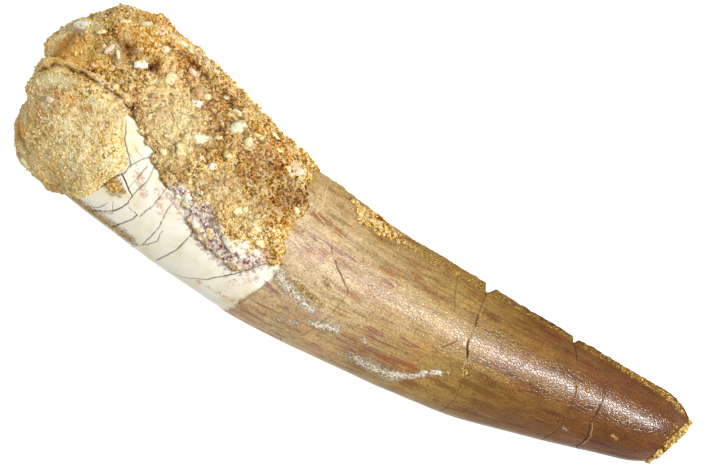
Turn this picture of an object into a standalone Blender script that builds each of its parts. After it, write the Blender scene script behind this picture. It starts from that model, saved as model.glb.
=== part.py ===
"""A fossil dinosaur tooth, lying on its side, with the sandstone it was dug out of still cemented round its root.

The row frame is in metres, +Z up. The tooth lies along X with its tip at +X, and its hollow edge faces +Y.
Z = 0 is the surface that the tooth lies on.
"""

import math

import bmesh
import bpy
import numpy as np
from mathutils import Matrix, Vector, noise

MM = 0.001

# The tooth's oval section at stations along it, in millimetres
STATIONS_X = (-54.0, -47.0, -40.0, -26.0, -12.0, 2.0, 14.0, 26.0, 38.0, 50.0, 60.0)
CENTRE_Y = (-1.4, -1.6, -2.0, -2.9, -3.9, -4.2, -3.6, -2.7, -1.0, 0.9, 2.5)
HALF_WIDTH = (11.4, 12.6, 13.2, 13.6, 13.2, 11.8, 11.1, 10.1, 8.4, 6.6, 5.2)
HALF_HEIGHT = (9.6, 10.6, 11.0, 11.0, 10.6, 9.7, 9.0, 8.1, 6.8, 5.4, 4.3)

# The rounded ends: where each starts, how far it reaches past that, and how square it is
ROOT_CAP_X, ROOT_CAP_REACH, ROOT_CAP_POWER = -47.0 * MM, 8.0 * MM, 2.4
TIP_CAP_X, TIP_CAP_REACH, TIP_CAP_POWER = 52.0 * MM, 8.0 * MM, 2.2

# The crown touches the surface here, and the root is held off it by the sandstone below
CROWN_REST_X = 44.0 * MM
ROOT_LIFT_PER_LENGTH = 0.0265
TIP_LIFT_PER_LENGTH = 0.02

# The keel along the hollow edge, and the fainter one just under the bulging edge
KEEL_HEIGHT, KEEL_ANGLE, KEEL_SPREAD = 0.45 * MM, math.radians(2.0), 0.11
LOW_KEEL_HEIGHT, LOW_KEEL_ANGLE = 0.22 * MM, math.radians(196.0)
KEEL_START_X, KEEL_RAMP = -14.0 * MM, 8.0 * MM

# The tip is broken off on a slant
BREAK_POINT = Vector((57.1, 0.5, 4.6)) * MM
BREAK_NORMAL = Vector((0.96, -0.26, 0.05)).normalized()

# Notches in the keel: place, width and depth
NOTCHES = ((19.9 * MM, 1.7 * MM, 1.5 * MM), (36.1 * MM, 1.1 * MM, 1.0 * MM))
NOTCH_HEIGHT = 14.0 * MM

# Sandstone and tooth are separate solids with this gap between them
GAP = 0.3 * MM
CREVICE = 0.4 * MM

# How far the sandstone reaches towards the crown, by the angle round the tooth.
# Angle 0 faces +Y, 90 faces up, 180 faces -Y and 270 faces down.
CRUST_EDGE_ANGLE = (0, 30, 60, 90, 102, 150, 215, 240, 270, 300, 330, 360)
CRUST_EDGE_X = (-13.6, -13.4, -11.6, -11.4, -9.6, -9.0, -16.0, -21.0, -17.0, -20.0, -15.5, -13.6)

# The window where the root's bare dentine shows, as corners (x in mm, angle in degrees)
WINDOW = (
    (-4.0, 99.0), (-10.2, 100.0), (-12.6, 106.0), (-15.7, 121.0), (-19.0, 120.0), (-22.3, 117.5),
    (-25.0, 109.0), (-26.8, 104.0), (-30.4, 100.0), (-33.0, 95.0), (-34.8, 87.0), (-38.2, 81.5),
    (-40.2, 77.0), (-42.6, 72.0), (-48.0, 72.0), (-48.0, 226.0), (-40.0, 223.0), (-34.0, 229.0),
    (-28.0, 220.0), (-22.0, 226.0), (-16.0, 218.0), (-4.0, 214.0),
)  # fmt: skip
WINDOW_RADIUS = 12.5 * MM

# The loose lump at the root's end: its side towards the crown by angle, and its crevice by x
LUMP_EDGE_ANGLE = (0, 60, 72, 90, 102, 114, 128, 145, 170, 200, 230, 270, 300, 360)
LUMP_EDGE_X = (-42.4, -42.4, -42.2, -41.3, -38.8, -39.4, -41.0, -42.8, -42.2, -43.5, -46.0, -45.0, -46.0, -42.4)
CREVICE_X = (-62.0, -58.0, -56.0, -52.0, -46.0, -38.0)
CREVICE_Y = (-2.6, -1.2, 0.9, 2.9, 3.0, 2.2)

# Sandstone thickness along the root, in millimetres, on its hollow edge, top, underside and bulging edge
CRUST_X = (-60.0, -54.0, -46.0, -42.0, -36.0, -28.0, -20.0, -12.0)
THICK_HOLLOW_EDGE = (4.2, 4.0, 6.4, 5.0, 3.2, 2.0, 0.6, 0.3)
THICK_TOP = (3.6, 3.0, 2.6, 2.4, 2.1, 1.6, 1.2, 0.9)
THICK_UNDER = (4.0, 4.2, 3.9, 3.8, 3.6, 3.2, 2.2, 1.3)
THICK_BULGING_EDGE = (4.0, 1.2, 0.4, 0.5, 0.8, 0.9, 0.9, 0.9)
THICK_END = 4.4 * MM
THICK_FEATHER = 0.3 * MM
FEATHER_RAMP = 7.0 * MM
EDGE_ROUNDING = 1.6 * MM
LUMP_RAISE = 0.6 * MM

# Knobs and pits of the sandstone: (x, y, z) on it, radius and height, in millimetres
KNOBS = (
    ((-47.0, 14.0, 21.0), 6.5, 1.1),
    ((-55.5, 10.5, 16.0), 4.5, 0.9),
    ((-55.5, 4.8, 17.0), 3.0, -1.7),
    ((-54.8, 3.8, 11.0), 3.4, 1.3),
    ((-54.9, -2.2, 14.0), 4.2, -2.2),
    ((-52.5, -11.0, 12.0), 4.0, 0.9),
    ((-36.0, 12.5, 18.0), 4.0, 0.7),
    ((-31.0, 13.0, 10.0), 3.5, 0.6),
    ((-49.0, 6.0, 25.5), 5.0, 0.6),
    ((-40.0, 6.5, 24.5), 4.2, -0.8),
    ((-50.0, 15.0, 8.0), 6.0, -1.2),
    ((-44.0, -7.0, 24.0), 4.0, 0.5),
)
LUMPY_SIZES = ((7.5 * MM, 1.3 * MM), (3.2 * MM, 0.8 * MM))

# Patches of cemented sand left on the crown: place, half length, half girth and thickness
RIDGE_PATCH_X, RIDGE_PATCH_ANGLE = -1.0 * MM, math.radians(21.0)
RIDGE_PATCH_HALF_LENGTH, RIDGE_PATCH_HALF_GIRTH, RIDGE_PATCH_THICK = 4.7 * MM, 2.9 * MM, 0.6 * MM
TIP_PATCH_RIM, TIP_PATCH_THICK = 0.1 * MM, 0.9 * MM
TIP_LUMPS_SIZE, TIP_LUMPS_RISE = 2.2 * MM, 0.4 * MM

# How finely each solid is faceted
TOOTH_SEGMENTS, TOOTH_SPANS = 40, ((-47.0, -8.0, 12), (-8.0, 52.0, 30))
CRUST_SEGMENTS, CRUST_SPANS = 44, ((-47.0, -8.0, 24), (-8.0, 52.0, 3))
LUMP_SEGMENTS, LUMP_SPANS = 48, ((-47.0, -34.0, 9), (-34.0, 52.0, 3))
RIDGE_SEGMENTS, RIDGE_SPANS = 72, ((-47.0, -8.0, 3), (-8.0, 8.0, 18), (8.0, 52.0, 4))
TIP_SEGMENTS, TIP_SPANS = 28, ((-47.0, 44.0, 4), (44.0, 52.0, 8))
CAP_RINGS, TIP_RINGS = 8, 9


def smooth_curve(x, places, values):
    """A smooth curve through values at places, read at x. All are in millimetres except x, in metres."""
    places = np.array(places, float) * MM
    values = np.array(values, float) * MM
    slopes = np.gradient(values, places)
    x = np.clip(x, places[0], places[-1])
    left = np.clip(np.searchsorted(places, x) - 1, 0, len(places) - 2)
    step = places[left + 1] - places[left]
    u = (x - places[left]) / step
    start = values[left] * (1 + 2 * u) + slopes[left] * step * u
    end = values[left + 1] * (3 - 2 * u) + slopes[left + 1] * step * (u - 1)
    return start * (1 - u) ** 2 + end * u**2


def by_angle(angle, angles, places):
    """The place in metres that goes with each angle round the tooth."""
    turned = np.degrees(angle) % 360.0
    return np.interp(turned, angles, places) * MM


def ramp(value):
    """Rises smoothly from 0 to 1 as value does."""
    held = np.clip(value, 0.0, 1.0)
    return held * held * (3 - 2 * held)


def centre_height(x):
    """Height of the tooth's centre line, with its underside just over the surface it lies on."""
    past_rest = x - CROWN_REST_X
    lift = np.where(past_rest < 0, -past_rest * ROOT_LIFT_PER_LENGTH, past_rest * TIP_LIFT_PER_LENGTH)
    return smooth_curve(x, STATIONS_X, HALF_HEIGHT) + lift


def section_of(x):
    """Centre y, centre z, half width and half height of the tooth's section at x."""
    return (
        smooth_curve(x, STATIONS_X, CENTRE_Y),
        centre_height(x),
        smooth_curve(x, STATIONS_X, HALF_WIDTH),
        smooth_curve(x, STATIONS_X, HALF_HEIGHT),
    )


def place_on_section(points):
    """Angle round the tooth and share of the full section, for points on its surface."""
    centre_y, centre_z, half_width, half_height = section_of(points[:, 0])
    across = (points[:, 1] - centre_y) / half_width
    up = (points[:, 2] - centre_z) / half_height
    return np.arctan2(up, across), np.minimum(np.hypot(across, up), 1.0)


def ring_places(spans):
    """(x, share of the full section) of each ring, from the root's pole to the tip's."""
    places = []
    for i in range(CAP_RINGS):
        turn = math.pi / 2 * i / CAP_RINGS
        reach = ROOT_CAP_REACH * math.cos(turn) ** (2 / ROOT_CAP_POWER)
        places.append((ROOT_CAP_X - reach, math.sin(turn) ** (2 / ROOT_CAP_POWER)))
    for start, end, count in spans:
        places += [((start + (end - start) * i / count) * MM, 1.0) for i in range(count)]
    for i in range(TIP_RINGS + 1):
        turn = math.pi / 2 * (1 - i / TIP_RINGS)
        reach = TIP_CAP_REACH * math.cos(turn) ** (2 / TIP_CAP_POWER)
        places.append((TIP_CAP_X + reach, math.sin(turn) ** (2 / TIP_CAP_POWER)))
    return np.array(places)


def keel(x, angle):
    """How far the two keels stand out of the oval."""
    grown = ramp((x - KEEL_START_X) / KEEL_RAMP)
    height = 0.0
    for ridge, place in ((KEEL_HEIGHT, KEEL_ANGLE), (LOW_KEEL_HEIGHT, LOW_KEEL_ANGLE)):
        away = (angle - place + math.pi) % (2 * math.pi) - math.pi
        height = height + ridge * grown * np.exp(-((away / KEEL_SPREAD) ** 2))
    return height


def face_outwards(bm):
    """Turns all faces outwards, from normals that are read again after the vertices moved."""
    bm.normal_update()
    bmesh.ops.recalc_face_normals(bm, faces=bm.faces)
    bm.normal_update()


def tooth_grid(segments, spans):
    """The tooth's closed surface, from a sphere whose rings slide along it. The beyond layer says how far
    each point stood past the broken tip's plane before it was laid on it."""
    places = ring_places(spans)
    bm = bmesh.new()
    bmesh.ops.create_uvsphere(bm, u_segments=segments, v_segments=len(places) - 1, radius=1.0)
    unit = np.array([v.co for v in bm.verts])
    ring = np.rint(np.arccos(np.clip(unit[:, 2], -1.0, 1.0)) / math.pi * (len(places) - 1)).astype(int)
    angle = np.arctan2(unit[:, 1], unit[:, 0])
    x, share = places[ring].T
    centre_y, centre_z, half_width, half_height = section_of(x)
    standing = keel(x, angle) * share
    points = np.stack(
        (
            x,
            centre_y + (half_width * share + standing) * np.cos(angle),
            centre_z + (half_height * share + standing) * np.sin(angle),
        ),
        axis=1,
    )
    beyond = (points - np.array(BREAK_POINT)) @ np.array(BREAK_NORMAL)
    points -= np.outer(np.maximum(beyond, 0.0), np.array(BREAK_NORMAL))
    layer = bm.verts.layers.float.new("beyond")
    for vert, point, past in zip(bm.verts, points, beyond):
        vert.co = point
        vert[layer] = past
    face_outwards(bm)
    return bm


def distance_into(points_2d, corners):
    """Signed distance from each point to a closed outline, positive inside it."""
    starts = np.array(corners, float)
    ends = np.roll(starts, -1, axis=0)
    nearest = np.full(len(points_2d), np.inf)
    inside = np.zeros(len(points_2d), bool)
    for start, end in zip(starts, ends):
        side = end - start
        share = np.clip((points_2d - start) @ side / (side @ side), 0.0, 1.0)
        away = points_2d - start - np.outer(share, side)
        nearest = np.minimum(nearest, np.hypot(away[:, 0], away[:, 1]))
        level = (start[1] > points_2d[:, 1]) != (end[1] > points_2d[:, 1])
        rise = side[1] if side[1] else 1.0
        crossing = start[0] + (points_2d[:, 1] - start[1]) * side[0] / rise
        inside ^= level & (points_2d[:, 0] < crossing)
    return np.where(inside, nearest, -nearest)


def into_window(points):
    """How far each point lies inside the window of bare dentine."""
    angle, _ = place_on_section(points)
    unrolled = np.stack((points[:, 0], (angle % (2 * math.pi)) * WINDOW_RADIUS), axis=1)
    corners = [(x * MM, math.radians(turn) * WINDOW_RADIUS) for x, turn in WINDOW]
    return distance_into(unrolled, corners)


def into_lump(points):
    """How far each point lies inside the loose lump's part of the root."""
    angle, _ = place_on_section(points)
    below_crevice = smooth_curve(points[:, 0], CREVICE_X, CREVICE_Y) - points[:, 1]
    behind_edge = by_angle(angle, LUMP_EDGE_ANGLE, LUMP_EDGE_X) - points[:, 0]
    return np.minimum(below_crevice, behind_edge)


def into_crust(points):
    """How far each point lies inside the main crust's part of the root."""
    angle, _ = place_on_section(points)
    behind_edge = by_angle(angle, CRUST_EDGE_ANGLE, CRUST_EDGE_X) - points[:, 0]
    return np.minimum(np.minimum(behind_edge, -into_window(points)), -into_lump(points) - CREVICE / 2)


def into_ridge_patch(points):
    """How far each point lies inside the sand patch on the keel."""
    angle, _ = place_on_section(points)
    away = (angle - RIDGE_PATCH_ANGLE + math.pi) % (2 * math.pi) - math.pi
    along = (points[:, 0] - RIDGE_PATCH_X) / RIDGE_PATCH_HALF_LENGTH
    across = away * WINDOW_RADIUS / RIDGE_PATCH_HALF_GIRTH
    return (1.0 - np.hypot(along, across)) * RIDGE_PATCH_HALF_GIRTH


def lumpiness(points):
    """The sandstone's uneven surface, as a height to add to its thickness."""
    height = np.zeros(len(points))
    for size, rise in LUMPY_SIZES:
        height += rise * np.array([noise.noise(Vector(p) / size) for p in points])
    for centre, radius, rise in KNOBS:
        away = np.linalg.norm(points - np.array(centre) * MM, axis=1)
        height += rise * MM * np.exp(-((away / (radius * MM)) ** 2))
    return height


def root_thickness(points):
    """Full thickness of the sandstone over each point of the root, away from its edges."""
    angle, share = place_on_section(points)
    x = points[:, 0]
    across, up = np.cos(angle), np.sin(angle)
    side = (
        smooth_curve(x, CRUST_X, THICK_HOLLOW_EDGE) * np.maximum(across, 0) ** 2
        + smooth_curve(x, CRUST_X, THICK_BULGING_EDGE) * np.maximum(-across, 0) ** 2
        + smooth_curve(x, CRUST_X, THICK_TOP) * np.maximum(up, 0) ** 2
        + smooth_curve(x, CRUST_X, THICK_UNDER) * np.maximum(-up, 0) ** 2
    )
    return THICK_END + (side - THICK_END) * share**2


def edge_dip(depth_inside):
    """How much the surface drops as it rounds over towards an edge."""
    short = 1.0 - np.clip(depth_inside / EDGE_ROUNDING, 0.0, 1.0)
    return EDGE_ROUNDING * 0.5 * (1.0 - np.sqrt(1.0 - short**2))


def crust_thickness(points):
    """Thickness of the main crust, thin where it ends on the crown or the dentine."""
    angle, _ = place_on_section(points)
    behind_edge = by_angle(angle, CRUST_EDGE_ANGLE, CRUST_EDGE_X) - points[:, 0]
    feathered = np.minimum(behind_edge, -into_window(points))
    grown = 0.25 + 0.75 * ramp(feathered / FEATHER_RAMP)
    full = (root_thickness(points) + lumpiness(points)) * grown
    return np.maximum(full - edge_dip(-into_lump(points)), THICK_FEATHER)


def lump_thickness(points):
    """Thickness of the loose lump, which stands up steeply at its edges."""
    angle, _ = place_on_section(points)
    full = root_thickness(points) + lumpiness(points) + LUMP_RAISE * np.maximum(np.sin(angle), 0.0)
    return np.maximum(full - edge_dip(into_lump(points)), THICK_FEATHER)


def ridge_patch_thickness(points):
    return THICK_FEATHER + RIDGE_PATCH_THICK * ramp(into_ridge_patch(points) / RIDGE_PATCH_HALF_GIRTH)


def tip_patch_thickness(points):
    lumps = np.array([noise.noise(Vector(p) / TIP_LUMPS_SIZE) for p in points])
    return TIP_PATCH_THICK + TIP_LUMPS_RISE * lumps


def snap_to_contour(bm, layer):
    """Moves a vertex that is close to the zero line onto it, so that the cut leaves no slivers."""
    for vert in bm.verts:
        best = 0.25
        target = None
        for edge in vert.link_edges:
            other = edge.other_vert(vert)
            if vert[layer] * other[layer] < 0:
                share = vert[layer] / (vert[layer] - other[layer])
                if share < best:
                    best = share
                    target = vert.co.lerp(other.co, share)
        if target is not None:
            vert.co = target
            vert[layer] = 0.0


def keep_inside(bm, depth_inside):
    """Cuts the mesh along the line where depth_inside is zero and keeps the side where it is positive."""
    layer = bm.verts.layers.float.new("inside")
    for vert, value in zip(bm.verts, depth_inside):
        vert[layer] = value
    snap_to_contour(bm, layer)
    crossing = [e for e in bm.edges if e.verts[0][layer] * e.verts[1][layer] < 0]
    for edge in crossing:
        first, second = edge.verts
        share = first[layer] / (first[layer] - second[layer])
        _, made = bmesh.utils.edge_split(edge, first, share)
        made[layer] = 0.0
    on_line = {v for v in bm.verts if v[layer] == 0.0}
    for face in list(bm.faces):
        corners = [v for v in face.verts if v in on_line]
        values = [v[layer] for v in face.verts]
        if len(corners) == 2 and min(values) < 0 < max(values):
            bmesh.utils.face_split(face, corners[0], corners[1])
    outside = [f for f in bm.faces if min(f.verts, key=lambda v: v[layer])[layer] < 0]
    bmesh.ops.delete(bm, geom=outside, context="FACES")


def cover(name, segments, spans, inside_of, thickness_of, straight_out=None):
    """A solid layer of sandstone over part of the tooth. It stands out along the tooth's normals, or
    along the one direction given."""
    bm = tooth_grid(segments, spans)
    out = bm.verts.layers.float_vector.new("out")
    for vert in bm.verts:
        vert[out] = vert.normal if straight_out is None else straight_out
    keep_inside(bm, inside_of(bm))
    points = np.array([v.co for v in bm.verts])
    outward = np.array([v[out] for v in bm.verts])
    outward /= np.linalg.norm(outward, axis=1)[:, None]
    inner = points + outward * GAP
    outer = points + outward * (GAP + thickness_of(points))[:, None]
    outer[:, 2] = np.maximum(outer[:, 2], 0.0)
    skin = list(bm.faces)
    lower = list(bm.verts)
    extruded = bmesh.ops.extrude_face_region(bm, geom=skin, use_keep_orig=True)
    raised = [g for g in extruded["geom"] if isinstance(g, bmesh.types.BMVert)]
    above = {tuple(v.co): v for v in raised}
    for vert, low, high in zip(lower, inner, outer):
        above[tuple(vert.co)].co = high
        vert.co = low
    face_outwards(bm)
    return finished(name, bm)


def finished(name, bm):
    """The bmesh as a smooth shaded object."""
    mesh = bpy.data.meshes.new(name)
    bm.to_mesh(mesh)
    bm.free()
    mesh.shade_smooth()
    mesh.set_sharp_from_angle(angle=math.radians(40))
    made = bpy.data.objects.new(name, mesh)
    bpy.context.scene.collection.objects.link(made)
    return made


def point_values(function):
    """A function of points, as one that reads them from a bmesh."""
    return lambda bm: function(np.array([v.co for v in bm.verts]))


def into_tip_patch(bm):
    """How far each vertex lies inside the sand on the broken tip."""
    layer = bm.verts.layers.float["beyond"]
    return np.array([v[layer] for v in bm.verts]) + TIP_PATCH_RIM


def notch_cutter(index, place, width, depth):
    """A square bar stood on end, with one corner pointing into the keel."""
    centre_y, centre_z, half_width, _ = section_of(np.array([place]))
    edge_y = centre_y[0] + half_width[0] + KEEL_HEIGHT
    bm = bmesh.new()
    bmesh.ops.create_cube(bm, size=1.0)
    bmesh.ops.rotate(bm, verts=bm.verts, matrix=Matrix.Rotation(math.radians(45), 3, "Z"))
    half_diagonal = math.sqrt(0.5)
    reach = 2 * depth
    bmesh.ops.scale(bm, verts=bm.verts, vec=(width / half_diagonal, reach / half_diagonal, NOTCH_HEIGHT))
    bmesh.ops.translate(bm, verts=bm.verts, vec=(place, edge_y + reach - depth, centre_z[0]))
    cutter = finished(f"notch_cutter_{index}", bm)
    cutter.hide_render = True
    cutter.display_type = "WIRE"
    return cutter


def finish_with(obj, name, colour, roughness):
    """Gives the object its own Principled material."""
    material = bpy.data.materials.new(name)
    material.use_nodes = True
    shader = material.node_tree.nodes["Principled BSDF"]
    shader.inputs["Base Color"].default_value = (*colour, 1.0)
    shader.inputs["Roughness"].default_value = roughness
    shader.inputs["Metallic"].default_value = 0.0
    obj.data.materials.append(material)


def build_tooth():
    """Crown and root, which grew as one piece, with the notches cut in its keel."""
    tooth = finished("tooth", tooth_grid(TOOTH_SEGMENTS, TOOTH_SPANS))
    for index, notch in enumerate(NOTCHES):
        cut = tooth.modifiers.new(f"notch_{index}", "BOOLEAN")
        cut.operation = "DIFFERENCE"
        cut.solver = "EXACT"
        cut.object = notch_cutter(index, *notch)
    finish_with(tooth, "tooth_enamel_and_dentine", (0.33, 0.21, 0.10), 0.35)


def build_sandstone():
    """The crust round the root, the lump beside it, and the two patches on the crown."""
    crust = cover("root_crust", CRUST_SEGMENTS, CRUST_SPANS, point_values(into_crust), crust_thickness)
    finish_with(crust, "crust_sandstone", (0.50, 0.31, 0.11), 0.9)
    lump_depth = point_values(lambda points: into_lump(points) - CREVICE / 2)
    lump = cover("root_lump", LUMP_SEGMENTS, LUMP_SPANS, lump_depth, lump_thickness)
    finish_with(lump, "lump_sandstone", (0.61, 0.42, 0.18), 0.9)
    ridge_depth = point_values(into_ridge_patch)
    ridge = cover("ridge_patch", RIDGE_SEGMENTS, RIDGE_SPANS, ridge_depth, ridge_patch_thickness)
    finish_with(ridge, "ridge_sand", (0.55, 0.35, 0.10), 0.9)
    tip = cover("tip_patch", TIP_SEGMENTS, TIP_SPANS, into_tip_patch, tip_patch_thickness, BREAK_NORMAL)
    finish_with(tip, "tip_sand", (0.50, 0.32, 0.09), 0.9)


def clear_scene():
    for obj in list(bpy.data.objects):
        bpy.data.objects.remove(obj)


clear_scene()
build_tooth()
build_sandstone()
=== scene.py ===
# %% [markdown]
# # A fossil tooth in its sandstone
#
# The object is one long tooth of a fish-eating dinosaur. It lies on its side with desert sandstone still
# cemented round its root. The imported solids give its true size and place. This script keeps that size, and
# gives every solid the fine shape and finish that a camera sees: cracks, flutes, grit, bone chips and
# stains.
#
# Lengths are in metres inside the meshes, and tables of measured values are in millimetres.

import math

import bmesh
import bpy
import numpy as np
from mathutils import Matrix, Quaternion, Vector, noise
from mathutils.bvhtree import BVHTree


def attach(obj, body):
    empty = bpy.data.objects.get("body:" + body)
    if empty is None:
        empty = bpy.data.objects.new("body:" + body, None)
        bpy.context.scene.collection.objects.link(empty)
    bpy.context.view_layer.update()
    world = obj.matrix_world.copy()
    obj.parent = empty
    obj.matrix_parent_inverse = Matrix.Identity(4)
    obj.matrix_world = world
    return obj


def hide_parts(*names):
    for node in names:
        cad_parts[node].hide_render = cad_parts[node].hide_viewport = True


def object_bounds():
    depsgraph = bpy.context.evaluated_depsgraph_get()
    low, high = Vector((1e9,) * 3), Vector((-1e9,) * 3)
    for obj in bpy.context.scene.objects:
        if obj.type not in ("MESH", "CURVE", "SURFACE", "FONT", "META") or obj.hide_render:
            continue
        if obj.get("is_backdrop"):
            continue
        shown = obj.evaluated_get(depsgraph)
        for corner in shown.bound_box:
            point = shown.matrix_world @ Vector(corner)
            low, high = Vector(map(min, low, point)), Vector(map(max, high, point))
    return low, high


MM = 0.001
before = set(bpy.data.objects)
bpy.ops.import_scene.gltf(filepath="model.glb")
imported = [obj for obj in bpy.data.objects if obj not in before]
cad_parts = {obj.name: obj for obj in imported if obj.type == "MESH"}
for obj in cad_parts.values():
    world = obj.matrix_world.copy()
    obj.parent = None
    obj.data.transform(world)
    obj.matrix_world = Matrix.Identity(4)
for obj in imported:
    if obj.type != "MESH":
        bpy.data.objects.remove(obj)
cad_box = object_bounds()
print("solids:", sorted(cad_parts))
print("their box in mm:", [round(c / MM, 1) for corner in cad_box for c in corner])

# %% [markdown]
# ## The view
#
# The tooth was photographed from straight above with a long lens, on a shadowless white table. A camera at
# the same angle needs three numbers: the scale in pixels to a millimetre, the point under the picture's
# middle, and the roll that makes the tooth run down to the right. The distance follows from the lens.

# %% Camera
PHOTO_WIDTH = 708
PIXELS_PER_MM = 6.325
LENS, SENSOR = 150.0, 36.0
VIEW_CENTRE = Vector((-2.766, 3.540, 12.5)) * MM
ROLL = math.radians(31.0)

camera_data = bpy.data.cameras.new("camera")
camera_data.lens = LENS
camera_data.sensor_width = SENSOR
camera = bpy.data.objects.new("camera", camera_data)
camera_distance = PHOTO_WIDTH / PIXELS_PER_MM * MM * LENS / SENSOR
camera.location = VIEW_CENTRE + Vector((0, 0, camera_distance))
camera.rotation_euler = (0, 0, ROLL)
bpy.context.scene.collection.objects.link(camera)
bpy.context.scene.camera = camera
print("camera is", round(camera_distance, 3), "m above the tooth")

# %% [markdown]
# ## Colours and nodes
#
# Colours are written as the hex codes that a colour picker shows, so they have to be turned to the linear
# values that Blender's nodes work with. One helper adds any node, with its settings and its links, which
# keeps each material readable from top to bottom.


# %% Colour and node helpers
def shade(code):
    """A hex colour such as #c6a67a as linear red, green, blue and 1."""
    parts = [int(code[i : i + 2], 16) / 255 for i in (1, 3, 5)]
    return tuple(p / 12.92 if p <= 0.04045 else ((p + 0.055) / 1.055) ** 2.4 for p in parts) + (1.0,)


def add(tree, kind, sockets=None, stops=None, **settings):
    """Adds a node. Sockets maps an input's name or number to a value or to the output it is linked from."""
    node = tree.nodes.new(kind)
    for name, value in settings.items():
        setattr(node, name, value)
    for key, value in (sockets or {}).items():
        if isinstance(value, bpy.types.NodeSocket):
            tree.links.new(value, node.inputs[key])
        else:
            node.inputs[key].default_value = value
    if stops:
        while len(node.color_ramp.elements) < len(stops):
            node.color_ramp.elements.new(1.0)
        for element, (place, colour) in zip(node.color_ramp.elements, stops):
            element.position = place
            element.color = colour if isinstance(colour, tuple) else (colour, colour, colour, 1.0)
    return node


def new_material(name):
    """An empty node material, and its tree."""
    material = bpy.data.materials.new(name)
    material.use_nodes = True
    material.node_tree.nodes.clear()
    return material, material.node_tree


# %% [markdown]
# ## Table and light
#
# The table is white acrylic lit from below, which is how such pictures get a white ground with hardly a
# shadow and a pale glow along the lower edges. The sky is an even white. One long softbox hangs beside the
# camera, on the keel's side, and makes the bright streak that runs down the crown.

# %% Table, sky and softbox
TABLE_SIZE = 3.0
TABLE_GLOW = 0.9
SKY_STRENGTH = 0.37
SOFTBOX_SIZE = (0.5, 0.05)
SOFTBOX_PLACE = Vector((0.32, 0.19, 0.62))
SOFTBOX_AIM = Vector((0.02, 0.0, 0.01))
SOFTBOX_POWER = 5.6

table_bm = bmesh.new()
bmesh.ops.create_grid(table_bm, x_segments=1, y_segments=1, size=TABLE_SIZE / 2)
table_mesh = bpy.data.meshes.new("white_table")
table_bm.to_mesh(table_mesh)
table_bm.free()
table = bpy.data.objects.new("white_table", table_mesh)
bpy.context.scene.collection.objects.link(table)
table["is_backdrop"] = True
acrylic, tree = new_material("white acrylic table")
surface = add(
    tree,
    "ShaderNodeBsdfPrincipled",
    {
        "Base Color": shade("#a8a8a6"),
        "Roughness": 0.6,
        "Emission Color": shade("#ffffff"),
        "Emission Strength": TABLE_GLOW,
    },
)
add(tree, "ShaderNodeOutputMaterial", {"Surface": surface.outputs[0]})
table_mesh.materials.append(acrylic)

sky = bpy.data.worlds.new("white_sky")
sky.use_nodes = True
sky.node_tree.nodes.clear()
glow = add(sky.node_tree, "ShaderNodeBackground", {"Color": shade("#ffffff"), "Strength": SKY_STRENGTH})
add(sky.node_tree, "ShaderNodeOutputWorld", {"Surface": glow.outputs[0]})
bpy.context.scene.world = sky

softbox_data = bpy.data.lights.new("softbox", "AREA")
softbox_data.shape = "RECTANGLE"
softbox_data.size, softbox_data.size_y = SOFTBOX_SIZE
softbox_data.energy = SOFTBOX_POWER
softbox = bpy.data.objects.new("softbox", softbox_data)
softbox.location = SOFTBOX_PLACE
facing = (SOFTBOX_PLACE - SOFTBOX_AIM).normalized()
lengthwise = (Vector((1, 0, 0)) - facing * facing.x).normalized()
softbox.rotation_euler = Matrix((lengthwise, facing.cross(lengthwise), facing)).transposed().to_euler()
softbox.visible_camera = False
bpy.context.scene.collection.objects.link(softbox)
bpy.context.scene.view_settings.view_transform = "Standard"

# %% [markdown]
# ## The tooth's form
#
# A tooth like this is an oval cone, slightly bent, and a few measured sections describe it better than any
# primitive does. The tables hold the section at stations along the length. Smooth curves run through them,
# and every later piece asks the same functions where the tooth's surface is, so nothing has to be fitted by
# eye. They are the same tables and formulas that the solids were made from.

# %% Sections along the tooth
STATIONS_X = (-54.0, -47.0, -40.0, -26.0, -12.0, 2.0, 14.0, 26.0, 38.0, 50.0, 60.0)
CENTRE_Y = (-1.4, -1.6, -2.0, -2.9, -3.9, -4.2, -3.6, -2.7, -1.0, 0.9, 2.5)
HALF_WIDTH = (11.4, 12.6, 13.2, 13.6, 13.2, 11.8, 11.1, 10.1, 8.4, 6.6, 5.2)
HALF_HEIGHT = (9.6, 10.6, 11.0, 11.0, 10.6, 9.7, 9.0, 8.1, 6.8, 5.4, 4.3)
ROOT_CAP_X, ROOT_CAP_REACH, ROOT_CAP_POWER = -47.0 * MM, 8.0 * MM, 2.4
TIP_CAP_X, TIP_CAP_REACH, TIP_CAP_POWER = 52.0 * MM, 8.0 * MM, 2.2
CROWN_REST_X = 44.0 * MM
ROOT_LIFT_PER_LENGTH, TIP_LIFT_PER_LENGTH = 0.0265, 0.02
KEEL_HEIGHT, KEEL_ANGLE, KEEL_SPREAD = 0.45 * MM, math.radians(2.0), 0.11
LOW_KEEL_HEIGHT, LOW_KEEL_ANGLE = 0.22 * MM, math.radians(196.0)
KEEL_START_X, KEEL_RAMP = -14.0 * MM, 8.0 * MM
BREAK_POINT = Vector((57.1, 0.5, 4.6)) * MM
BREAK_NORMAL = Vector((0.96, -0.26, 0.05)).normalized()


def smooth_curve(x, places, values):
    """A smooth curve through values at places, both in millimetres, read at x in metres."""
    places = np.array(places, float) * MM
    values = np.array(values, float) * MM
    slopes = np.gradient(values, places)
    x = np.clip(x, places[0], places[-1])
    left = np.clip(np.searchsorted(places, x) - 1, 0, len(places) - 2)
    step = places[left + 1] - places[left]
    u = (x - places[left]) / step
    start = values[left] * (1 + 2 * u) + slopes[left] * step * u
    end = values[left + 1] * (3 - 2 * u) + slopes[left + 1] * step * (u - 1)
    return start * (1 - u) ** 2 + end * u**2


def by_angle(angle, angles, places):
    """The place in metres that goes with each angle round the tooth: 0 faces +Y and 90 faces up."""
    return np.interp(np.degrees(angle) % 360.0, angles, places) * MM


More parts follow.
